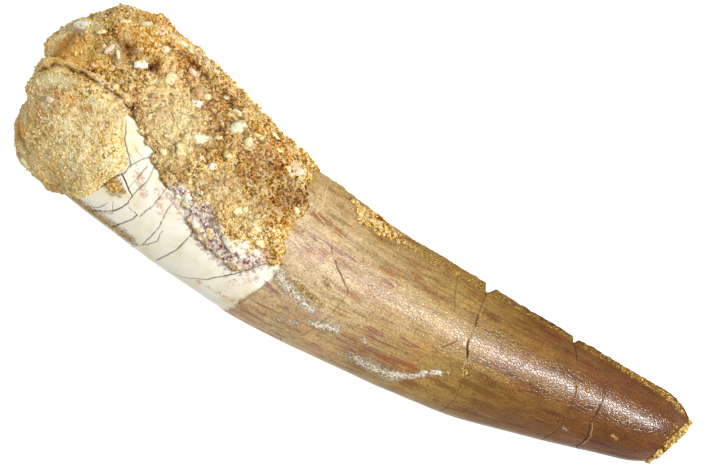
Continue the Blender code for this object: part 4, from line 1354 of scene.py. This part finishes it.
SAND_STROKES = {
    "rusty": (
        (0.7, 0.45, ((-56.8, 3.2), (-56.8, 5.0), (-56.0, 7.4), (-54.7, 8.7))),
        (0.5, 0.8, ((-55.3, -1.8), (-53.7, -1.3), (-50.9, -0.5))),
        (0.5, 0.7, ((-57.8, -4.1), (-57.7, -6.6), (-56.9, -8.9), (-55.0, -10.5))),
        (0.8, 0.6, ((-46.9, -14.6), (-44.2, -14.8), (-41.5, -15.2))),
        (0.6, 0.5, ((-40.6, 5.0), (-38.0, 1.0), (-36.5, -1.0))),
        (0.7, 0.5, ((-48.6, 16.0), (-44.5, 16.6), (-40.0, 16.2))),
    ),
    "pale": (
        (0.6, 0.75, ((-57.9, 2.5), (-58.8, 5.3), (-58.5, 6.8), (-57.4, 8.9), (-56.2, 10.4), (-53.3, 11.0))),
        (0.7, 0.6, ((-50.3, 7.8), (-49.5, 10.1), (-48.4, 9.5), (-47.6, 7.9))),
        (0.9, 1.0, ((-55.8, -0.9), (-54.4, 0.5), (-52.6, 1.1))),
        (0.45, 0.8, ((-58.1, -4.3), (-58.4, -6.1), (-58.0, -8.5), (-56.6, -10.6))),
        (0.4, 0.7, ((-43.2, 15.8), (-40.1, 15.6), (-37.6, 15.3), (-35.0, 14.6))),
        (0.6, 0.6, ((-46.2, 1.2), (-44.0, 1.4), (-42.3, 0.4))),
    ),
    "purple": (
        (0.6, 0.6, ((-39.0, 13.8), (-35.0, 12.8), (-31.0, 12.4), (-27.0, 10.6))),
        (0.8, 0.6, ((-22.0, 7.6), (-17.0, 5.6), (-13.5, 5.2))),
    ),
    # Painted shade: the dark strokes darken the crevice between the crust and the lump, and the stone's grooves and
    # pits
    "dark": (
        (0.27, 1.0, ((-57.6, 0.6), (-56.0, 2.6), (-54.0, 3.1), (-52.4, 3.4), (-50.5, 3.6), (-49.1, 3.5),
                     (-46.6, 3.3))),
        (0.27, 1.0, ((-46.6, 3.3), (-43.8, 3.3), (-41.9, 2.4), (-41.2, 1.4))),
        (0.25, 0.6, ((-43.9, 13.9), (-41.9, 14.0), (-37.8, 13.7), (-34.5, 12.5))),
        (0.25, 0.6, ((-31.7, 12.2), (-27.6, 10.1), (-23.1, 9.1))),
        (0.5, 1.0, ((-43.1, 9.5), (-42.3, 9.6))),
        (0.3, 0.9, ((-49.0, 12.4), (-48.6, 11.8))),
        (0.3, 0.8, ((-51.4, 11.5), (-51.0, 11.3))),
        (0.4, 0.6, ((-47.6, 10.6), (-46.8, 9.8), (-46.4, 8.8))),
        (0.3, 0.7, ((-36.2, 10.6), (-35.8, 9.6))),
        (0.3, 0.6, ((-27.2, 10.2), (-25.0, 8.2))),
        (0.25, 0.7, ((-31.2, 2.9), (-28.6, 3.9))),
        (0.25, 0.6, ((-45.6, 8.6), (-43.4, 8.3))),
    ),
    "mauve": MAUVE_BAND,
}
NO_SPOTS = ()
CREVICE_LINE = ((-57.6, 0.6), (-56.0, 2.6), (-54.0, 3.1), (-50.5, 3.6), (-46.6, 3.3), (-43.8, 3.3),
                (-41.9, 2.4), (-41.2, 1.4))


def paint_sand(piece, points):
    """Stores the sandstone's colour spots, and broad noise under them, for points of a piece."""
    for number, name in enumerate(("rusty", "pale", "purple", "dark", "gold_and_painted_light", "mauve")):
        spots = SPOTS.get(name, NO_SPOTS)
        everywhere = 0.0
        if spots:
            everywhere = 0.2 * np.clip(bumps(points + number * 0.7, 5.0 * MM) * 1.5 + 0.1, 0, 1)
        total = np.maximum(line_paint(points, SAND_STROKES.get(name, NO_SPOTS)), everywhere)
        for x, y, radius, strength in spots:
            away = np.hypot(points[:, 0] - x * MM, points[:, 1] - y * MM)
            fade = ramp((points[:, 2] - 6 * MM) / (5 * MM))
            total = np.maximum(total, strength * fade * np.exp(-((away / (radius * MM)) ** 2)))
        set_values(piece.data, name, total)


def mesh_places(mesh):
    flat_list = np.empty(len(mesh.vertices) * 3, np.float32)
    mesh.vertices.foreach_get("co", flat_list)
    return flat_list.reshape(-1, 3).astype(float)


for piece in (crust, lump, ridge_sand, tip_sand):
    paint_sand(piece, mesh_places(piece.data))

# %% [markdown]
# ## Iron-stained sandstone
#
# This sandstone is quartz sand set in a little iron clay. Its grains are about 0.4 mm, two or three pixels
# here, and each has its own tint from cream to brown, so the colour comes from cells of that size. Quartz
# has an index of 1.54, but the broken faces point everywhere, so the stone looks matt with scattered
# glints.

# %% Sandstone materials
QUARTZ_INDEX = 1.54
GRAINS_PER_METRE = 1 / (0.36 * MM)
GOLDEN_TINTS = (
    (0.0, shade("#4e2c06")),
    (0.16, shade("#86560c")),
    (0.34, shade("#b9821e")),
    (0.5, shade("#dca93c")),
    (0.66, shade("#eec55a")),
    (0.84, shade("#f9e394")),
    (1.0, shade("#fff7cc")),
)
STRAW_TINTS = (
    (0.0, shade("#7c520c")),
    (0.16, shade("#bb8e2c")),
    (0.34, shade("#e9bf56")),
    (0.5, shade("#f8d87c")),
    (0.66, shade("#fde694")),
    (0.84, shade("#fff2ba")),
    (1.0, shade("#fffbe2")),
)
CRUMB_TINTS = (
    (0.0, shade("#55370d")),
    (0.2, shade("#8a6019")),
    (0.42, shade("#b98d34")),
    (0.6, shade("#d6ae4b")),
    (0.78, shade("#e4c265")),
    (0.92, shade("#f1dc92")),
    (1.0, shade("#fbf0c4")),
)
MAUVE_SPECKS = ((0.36, shade("#7c4552")), (0.44, shade("#b88a8c")), (0.5, shade("#e8d8c4")),
                (0.6, shade("#faf4e6")))


def sand_colour(tree, place, tint, tints):
    """Colour of cemented sand: grain tints moved by clumps, patches and spots, and painted shade and light in pits
    and on peaks.
    """
    clumps = add(
        tree, "ShaderNodeTexNoise", {"Vector": place, "Scale": 1250.0, "Detail": 5.0, "Roughness": 0.75}
    ).outputs[0]
    patches = add(tree, "ShaderNodeTexNoise", {"Vector": place, "Scale": 260.0, "Detail": 4.0}).outputs[0]
    grit = add(tree, "ShaderNodeAttribute", attribute_name="grit").outputs["Fac"]
    level = add(tree, "ShaderNodeMath", {0: tint, 1: 1.0, 2: -1.73}, operation="MULTIPLY_ADD").outputs[0]
    level = add(tree, "ShaderNodeMath", {0: clumps, 1: 1.5, 2: level}, operation="MULTIPLY_ADD").outputs[0]
    level = add(tree, "ShaderNodeMath", {0: patches, 1: 0.3, 2: level}, operation="MULTIPLY_ADD").outputs[0]
    # Painted shade and light: the colour is darker in the hollows of the grit's relief and lighter on its peaks
    level = add(tree, "ShaderNodeMath", {0: grit, 1: 0.5, 2: level}, operation="MULTIPLY_ADD").outputs[0]
    dust = add(tree, "ShaderNodeTexNoise", {"Vector": place, "Scale": 5000.0, "Detail": 2.0}).outputs[0]
    level = add(tree, "ShaderNodeMath", {0: dust, 1: 1.2, 2: level}, operation="MULTIPLY_ADD").outputs[0]
    colour = add(tree, "ShaderNodeValToRGB", {0: level}, tints).outputs[0]
    beds = add(
        tree, "ShaderNodeTexNoise", {"Vector": place, "Scale": 520.0, "Detail": 6.0, "Roughness": 0.7}
    ).outputs[0]
    limy = add(tree, "ShaderNodeMapRange", {0: beds, 1: 0.54, 2: 0.68, 4: 0.6}).outputs[0]
    irony = add(tree, "ShaderNodeMapRange", {0: beds, 1: 0.47, 2: 0.34, 4: 0.9}).outputs[0]
    colour = add(tree, "ShaderNodeMix", {0: limy, 6: colour, 7: shade("#f6e6b6")},
                 data_type="RGBA").outputs[2]
    colour = add(
        tree, "ShaderNodeMix", {0: irony, 6: colour, 7: shade("#d89a4a")}, data_type="RGBA",
        blend_type="MULTIPLY"
    ).outputs[2]
    for spot, code, blend, share in (
        # Golden sand, and painted light in shaded hollows and on the lump's low side
        ("gold_and_painted_light", "#ffd878", "MIX", 0.85),
        ("rusty", "#e39c3c", "MULTIPLY", 0.75),
        ("pale", "#f6e9ba", "MIX", 0.9),
        ("purple", "#ab857c", "MULTIPLY", 0.95),
        # Painted shade in the crevice and grooves
        ("dark", "#6d471f", "MULTIPLY", 1.0),
    ):
        amount = add(tree, "ShaderNodeAttribute", attribute_name=spot).outputs["Fac"]
        uneven = add(tree, "ShaderNodeMath", {0: amount, 1: clumps}, operation="MULTIPLY").outputs[0]
        present = add(tree, "ShaderNodeMath", {0: uneven, 1: share * 2}, operation="MULTIPLY",
                      use_clamp=True).outputs[0]
        colour = add(
            tree, "ShaderNodeMix", {0: present, 6: colour, 7: shade(code)}, data_type="RGBA",
            blend_type=blend
        ).outputs[2]
    amount = add(tree, "ShaderNodeAttribute", attribute_name="mauve").outputs["Fac"]
    dirt = add(tree, "ShaderNodeValToRGB", {0: clumps}, MAUVE_SPECKS).outputs[0]
    present = add(tree, "ShaderNodeMath", {0: amount, 1: 1.3}, operation="MULTIPLY",
                  use_clamp=True).outputs[0]
    colour = add(tree, "ShaderNodeMix", {0: present, 6: colour, 7: dirt}, data_type="RGBA").outputs[2]
    return colour, clumps


def sandstone(name, tints):
    """Sandstone whose grains are cells, each with its own tint and its own small dome."""
    material, tree = new_material(name)
    place = add(tree, "ShaderNodeTexCoord").outputs["Object"]
    cells = add(tree, "ShaderNodeTexVoronoi", {"Vector": place, "Scale": GRAINS_PER_METRE})
    tint = add(tree, "ShaderNodeSeparateColor", {0: cells.outputs["Color"]}).outputs[0]
    colour, clumps = sand_colour(tree, place, tint, tints)
    domed = add(tree, "ShaderNodeMath", {0: 1.0, 1: cells.outputs["Distance"]},
                operation="SUBTRACT").outputs[0]
    relief = add(tree, "ShaderNodeMath", {0: clumps, 1: 2.2, 2: domed}, operation="MULTIPLY_ADD").outputs[0]
    bump = add(tree, "ShaderNodeBump", {"Strength": 1.0, "Distance": 0.17 * MM,
                                        "Height": relief}).outputs[0]
    surface = add(
        tree,
        "ShaderNodeBsdfPrincipled",
        {"Base Color": colour, "Roughness": 0.85, "IOR": QUARTZ_INDEX, "Specular IOR Level": 0.04,
         "Normal": bump},
    )
    add(tree, "ShaderNodeOutputMaterial", {"Surface": surface.outputs[0]})
    return material


crust.data.materials.append(sandstone("iron-stained sandstone", GOLDEN_TINTS))
straw_stone = sandstone("pale straw sandstone", STRAW_TINTS)
patch_stone = sandstone("golden cemented sand", CRUMB_TINTS)
lump.data.materials.append(straw_stone)
ridge_sand.data.materials.append(patch_stone)
tip_sand.data.materials.append(patch_stone)

# %% [markdown]
# ## Loose grains
#
# Bump alone leaves smooth outlines, and this stone's outline is knobbly. So thousands of real grains are
# set half sunk in its surface. One rough ball with twenty faces is copied to random places on the faces,
# each copy turned, squashed and tinted by its own random numbers, and all are joined in one mesh.

# %% Scattering grains
grain_bm = bmesh.new()
bmesh.ops.create_icosphere(grain_bm, subdivisions=1, radius=1.0)
GRAIN_SHAPE = vertex_places(grain_bm)
grain_bm.verts.index_update()
GRAIN_FACES = np.array([[v.index for v in f.verts] for f in grain_bm.faces])
grain_bm.free()
MORE_SMALL_ONES = 1.6
SQUASHED, DENTED = (0.65, 1.15), (0.85, 1.15)


def random_turns(rng, count):
    """Random rotation matrices, from random unit quaternions."""
    q = rng.normal(size=(count, 4))
    q /= np.linalg.norm(q, axis=1)[:, None]
    return np.array([np.array(Quaternion(row).to_matrix()) for row in q])


def scattered(rng, piece, count):
    """Random places and normals on the piece's upper faces, spread by area."""
    mesh = piece.data
    mesh.calc_loop_triangles()
    corners = np.empty(len(mesh.loop_triangles) * 3, np.int32)
    mesh.loop_triangles.foreach_get("vertices", corners)
    corners = corners.reshape(-1, 3)
    places = mesh_places(mesh)
    a, b, c = (places[corners[:, i]] for i in range(3))
    cross = np.cross(b - a, c - a)
    area = np.linalg.norm(cross, axis=1) / 2
    lower = np.empty(len(mesh.vertices), np.float32)
    mesh.attributes["lower_side"].data.foreach_get("value", lower)
    area = area * (lower[corners].max(1) < 0.5)
    chosen = rng.choice(len(corners), size=count, p=area / area.sum())
    u, v = rng.random((2, count))
    flip = u + v > 1
    u[flip], v[flip] = 1 - u[flip], 1 - v[flip]
    spots = a[chosen] + (b - a)[chosen] * u[:, None] + (c - a)[chosen] * v[:, None]
    return spots, cross[chosen] / np.linalg.norm(cross[chosen], axis=1)[:, None]


def grain_mesh(name, piece, count, keep, radii, sunk, material):
    """Grains scattered on a piece where keep says so, in one mesh. Radii are the least and most, in mm."""
    rng = np.random.default_rng(count)
    spots, normals = scattered(rng, piece, count)
    size = (radii[0] + (radii[1] - radii[0]) * rng.random(count) ** MORE_SMALL_ONES) * MM
    squash = rng.uniform(*SQUASHED, (count, 1, 3))
    rough = rng.uniform(*DENTED, (count, len(GRAIN_SHAPE), 1))
    turns = random_turns(rng, count)
    tints = rng.random(count)
    kept = rng.random(count) < keep(spots)
    shapes = GRAIN_SHAPE[None] * squash * rough * size[:, None, None]
    centres = spots + normals * (size * (1 - sunk))[:, None]
    shapes = np.einsum("nij,nkj->nki", turns, shapes) + centres[:, None]
    places = shapes[kept].reshape(-1, 3)
    places[:, 2] = np.maximum(places[:, 2], 0.0)
    left = int(kept.sum())
    faces = (GRAIN_FACES[None] + np.arange(left)[:, None, None] * len(GRAIN_SHAPE)).reshape(-1, 3)
    mesh = bpy.data.meshes.new(name)
    mesh.from_pydata(places, [], faces)
    grains = bpy.data.objects.new(name, mesh)
    bpy.context.scene.collection.objects.link(grains)
    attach(grains, "root")
    set_values(mesh, "tint", np.repeat(tints[kept], len(GRAIN_SHAPE)))
    set_values(mesh, "grit", np.full(len(places), 0.5))
    paint_sand(grains, np.repeat(spots[kept], len(GRAIN_SHAPE), axis=0))
    mesh.materials.append(material)
    print(name, left, "grains,", triangle_count(grains), "triangles")
    return grains


def grain_material(name, tints):
    """Loose grains: the sandstone's colours, with one tint of its own for each grain and a glassy glint."""
    material, tree = new_material(name)
    place = add(tree, "ShaderNodeTexCoord").outputs["Object"]
    tint = add(tree, "ShaderNodeAttribute", attribute_name="tint").outputs["Fac"]
    colour, _ = sand_colour(tree, place, tint, tints)
    glassy = add(tree, "ShaderNodeMapRange", {0: tint, 3: 0.8, 4: 0.45}).outputs[0]
    surface = add(
        tree,
        "ShaderNodeBsdfPrincipled",
        {"Base Color": colour, "Roughness": glassy, "IOR": QUARTZ_INDEX, "Specular IOR Level": 0.15},
    )
    add(tree, "ShaderNodeOutputMaterial", {"Surface": surface.outputs[0]})
    return material


golden_grains = grain_material("golden quartz grains", GOLDEN_TINTS)
straw_grains = grain_material("straw quartz grains", STRAW_TINTS)
crumb_grains = grain_material("ochre quartz grains", CRUMB_TINTS)
pebble_grains = grain_material("pale worn pebbles", STRAW_TINTS)


TABLE_GAP, CREVICE_HALF_WIDTH, CREVICE_FLOOR = 0.35 * MM, 0.45 * MM, 10 * MM


def above_floor(spots):
    """Chance of a grain: none where it would touch the table."""
    return np.where(spots[:, 2] > TABLE_GAP, 1.0, 0.0)


def off_the_crevice(spots):
    """Chance of a grain: none where it would fill the crevice between the crust and the lump."""
    near, _ = distance_to(spots[:, :2], np.array(CREVICE_LINE) * MM)
    return above_floor(spots) * ((near > CREVICE_HALF_WIDTH) | (spots[:, 2] < CREVICE_FLOOR))


def on_the_tip_keel(spots):
    """Chance of a crumb on the worn keel: more the nearer the tip."""
    angle, _ = place_on_section(spots)
    away = np.abs((np.degrees(angle) + 180) % 360 - 180 - 10)
    nearness = ramp((spots[:, 0] - 42 * MM) / (15 * MM)) * (1 - np.clip(away / 24, 0, 1))
    return nearness * np.clip(bumps(spots, 1.5 * MM) * 2 + 0.5, 0, 1)


grain_mesh("crust_grains", crust, 9200, off_the_crevice, (0.08, 0.27), 0.8, golden_grains)
grain_mesh("crust_pebbles", crust, 520, off_the_crevice, (0.28, 0.5), 1.1, pebble_grains)
grain_mesh("lump_grains", lump, 5200, off_the_crevice, (0.08, 0.22), 0.8, straw_grains)
grain_mesh("ridge_grains", ridge_sand, 420, above_floor, (0.1, 0.2), 0.7, golden_grains)
grain_mesh("tip_grains", tip_sand, 700, above_floor, (0.07, 0.15), 0.6, crumb_grains)
set_values(tooth.data, "lower_side", np.zeros(len(tooth.data.vertices)))
grain_mesh("keel_crumbs", tooth, 40000, on_the_tip_keel, (0.06, 0.17), 0.8, crumb_grains)

# %% [markdown]
# ## Bone chips and pebbles
#
# The sand holds worn chips of bone and clay pebbles, pale green to cream, which stand out of it like bits
# of eggshell. Each is a ball squared off towards a box, dented by noise, dropped onto the stone from above
# and sunk by half. The list gives the tone, the place, the length and width, and the turn seen from above.

# %% Chips
CHIPS = (
    ("white", -44.4, 9.3, 2.1, 1.2, 26), ("cream", -39.6, 9.8, 1.9, 1.4, -89),
    ("pink", -37.1, 12.4, 1.6, 0.8, -9), ("white", -34.5, 8.4, 2.1, 1.1, 21),
    ("tan", -34.9, 10.3, 2.1, 1.3, -49), ("cream", -33.3, 10.3, 1.1, 0.9, 31),
    ("green", -26.8, 8.7, 2.4, 1.9, -119), ("green", -28.2, 10.6, 1.6, 0.9, 1),
    ("green", -31.0, 11.7, 0.9, 0.8, 31), ("cream", -21.7, 10.5, 2.2, 0.9, -9),
    ("green", -47.2, 15.1, 1.9, 0.6, 26), ("pink", -44.5, 15.2, 1.4, 0.8, 31),
    ("green", -42.5, 13.1, 1.6, 1.1, -9), ("cream", -39.5, 15.1, 1.1, 0.6, -19),
    ("green", -41.0, 15.5, 1.3, 0.6, 1), ("white", -55.8, 9.9, 3.2, 1.2, 26),
    ("cream", -57.0, 8.4, 2.2, 0.8, 56), ("cream", -57.9, 6.9, 1.6, 0.6, 69),
    ("cream", -52.5, 10.5, 1.4, 0.6, 31), ("pink", -49.9, 9.0, 2.2, 0.8, 71),
    ("cream", -48.2, 8.7, 1.9, 0.6, -54), ("green", -30.6, 4.1, 3.8, 1.4, 19),
    ("white", -26.7, 1.5, 1.4, 1.1, 21), ("cream", -24.3, 7.5, 1.3, 1.6, 31),
    ("cream", -23.1, 9.2, 2.2, 0.6, -1), ("pink", -16.1, 7.7, 2.8, 1.9, -19),
    ("cream", -32.3, 1.0, 2.2, 1.3, -49), ("cream", -20.1, -2.3, 1.4, 1.1, 31),
    ("cream", -16.2, -3.2, 1.4, 0.8, 1), ("white", -16.8, -6.2, 1.9, 1.4, 11),
    ("white", -14.7, -6.4, 1.9, 1.1, 6), ("cream", -34.6, -0.5, 1.1, 0.9, -59),
    ("cream", -50.2, 13.7, 1.9, 0.6, 26), ("cream", -45.9, 4.3, 1.1, 0.9, 31),
    ("cream", -43.9, 5.5, 0.8, 0.6, 31), ("pink", -53.7, -2.6, 1.4, 0.9, 11),
    ("cream", -47.0, 1.0, 1.3, 0.8, 41), ("cream", -12.5, 2.3, 1.1, 0.8, -29),
    ("white", -27.7, -4.8, 1.9, 1.4, -29), ("white", -29.1, -5.1, 1.3, 0.9, 31),
    ("cream", -22.0, -7.8, 1.3, 1.0, -29), ("cream", -27.6, -5.4, 1.8, 1.3, 20),
    ("white", -24.7, -7.4, 1.6, 1.1, -40), ("white", -18.7, -7.4, 2.8, 1.1, -20),
    ("white", -16.4, -7.6, 2.4, 1.0, -35), ("cream", -14.6, -4.9, 1.5, 1.0, 0),
    ("cream", -22.3, -7.2, 1.2, 0.8, 30), ("cream", -28.5, 5.8, 1.1, 0.6, 31),
    ("cream", -39.2, 3.1, 0.9, 0.8, 31), ("cream", -25.9, 4.2, 1.1, 0.8, 11),
    ("green", -57.1, -1.2, 0.9, 0.6, 31), ("cream", -19.6, 8.9, 1.3, 0.6, -9),
    ("tan", -40.1, 6.2, 1.1, 0.8, 31),
    ("tan", -23.5, 0.5, 1.1, 0.9, 31), ("cream", -52.2, -13.2, 3.2, 0.8, 160),
)  # fmt: skip
CHIP_TONES = {"white": 0.95, "green": 0.72, "cream": 0.5, "pink": 0.28, "tan": 0.06}
CHIP_SQUARENESS, CHIP_THICKNESS, CHIP_SUNK = 4.5, 0.42 * MM, 0.22


def top_of(pieces):
    """A function that finds the highest surface of the pieces at (x, y), and its normal."""
    trees = []
    for piece in pieces:
        corners = [v.co.copy() for v in piece.data.vertices]
        trees.append(BVHTree.FromPolygons(corners, [tuple(p.vertices) for p in piece.data.polygons]))

    def find(x, y):
        hits = [t.ray_cast(Vector((x, y, 0.1)), Vector((0, 0, -1))) for t in trees]
        hits = [hit for hit in hits if hit[0] is not None]
        return max(hits, key=lambda hit: hit[0].z)[:2] if hits else (None, None)

    return find


def squared_ball(bm, half_sizes, turn, tilt, centre, seed):
    """Adds a dented ball, squared off towards a box, turned about its own up and tilted to the surface."""
    made = bmesh.ops.create_icosphere(bm, subdivisions=2, radius=1.0)["verts"]
    for vert in made:
        unit = vert.co
        norm = sum(abs(c) ** CHIP_SQUARENESS for c in unit) ** (1 / CHIP_SQUARENESS)
        broad = noise.noise(unit * 1.5 + Vector((seed, 0, 0)))
        small = noise.noise(unit * 4 + Vector((0, seed, 0)))
        dented = 1.08 + 0.4 * broad + 0.2 * small
        local = unit / norm * dented
        vert.co = Vector([a * b for a, b in zip(local, half_sizes)])
    spin = Matrix.Rotation(turn, 3, "Z")
    bmesh.ops.rotate(bm, verts=made, matrix=tilt @ spin)
    bmesh.ops.translate(bm, verts=made, vec=centre)
    return made


highest = top_of((crust, lump))
chip_bm = bmesh.new()
tone_layer = chip_bm.verts.layers.float.new("tone")
for number, (tone, x, y, length, width, turn) in enumerate(CHIPS):
    at, normal = highest(x * MM, y * MM)
    if at is None:
        print("no stone under chip", number)
        continue
    blunt = (normal + Vector((0, 0, 0.6))).normalized()
    tilt = Vector((0, 0, 1)).rotation_difference(blunt).to_matrix()
    half_sizes = (length / 2 * MM, width / 2 * MM, CHIP_THICKNESS)
    made = squared_ball(chip_bm, half_sizes, math.radians(turn), tilt,
                        at - blunt * CHIP_THICKNESS * CHIP_SUNK, number * 1.7)
    for vert in made:
        vert[tone_layer] = CHIP_TONES[tone]
chips = new_piece("bone_chips", chip_bm)
print(chips.name, triangle_count(chips), "triangles")

chip_material, tree = new_material("worn bone and clay chips")
place = add(tree, "ShaderNodeTexCoord").outputs["Object"]
tone = add(tree, "ShaderNodeAttribute", attribute_name="tone").outputs["Fac"]
CHIP_SHADES = (
    (0.0, shade("#c99c62")),
    (0.25, shade("#ecd2bb")),
    (0.5, shade("#f3e5b4")),
    (0.75, shade("#dfe3c6")),
    (1.0, shade("#fbf8ea")),
)
ground = add(tree, "ShaderNodeValToRGB", {0: tone}, CHIP_SHADES).outputs[0]
worn = add(tree, "ShaderNodeTexNoise", {"Vector": place, "Scale": 1500.0, "Detail": 5.0}).outputs[0]
WORN_SHADES = ((0.3, shade("#a67c44")), (0.42, shade("#f0dfb4")), (0.5, shade("#ffffff")))
worn_shade = add(tree, "ShaderNodeValToRGB", {0: worn}, WORN_SHADES).outputs[0]
colour = add(
    tree, "ShaderNodeMix", {0: 0.9, 6: ground, 7: worn_shade}, data_type="RGBA", blend_type="MULTIPLY"
).outputs[2]
bump = add(tree, "ShaderNodeBump", {"Strength": 1.0, "Distance": 0.06 * MM, "Height": worn}).outputs[0]
surface = add(
    tree, "ShaderNodeBsdfPrincipled", {"Base Color": colour, "Roughness": 0.7, "IOR": FOSSIL_INDEX,
                                       "Normal": bump}
)
add(tree, "ShaderNodeOutputMaterial", {"Surface": surface.outputs[0]})
chips.data.materials.append(chip_material)

# %% The box of what shows, beside the solids' box
visual_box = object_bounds()
sizes = {
    "cad": [list(corner) for corner in cad_box],
    "visual": [list(corner) for corner in visual_box],
}
for name, (low, high) in sizes.items():
    print(name, "box in mm:", [round(c / MM, 2) for c in low], [round(c / MM, 2) for c in high])
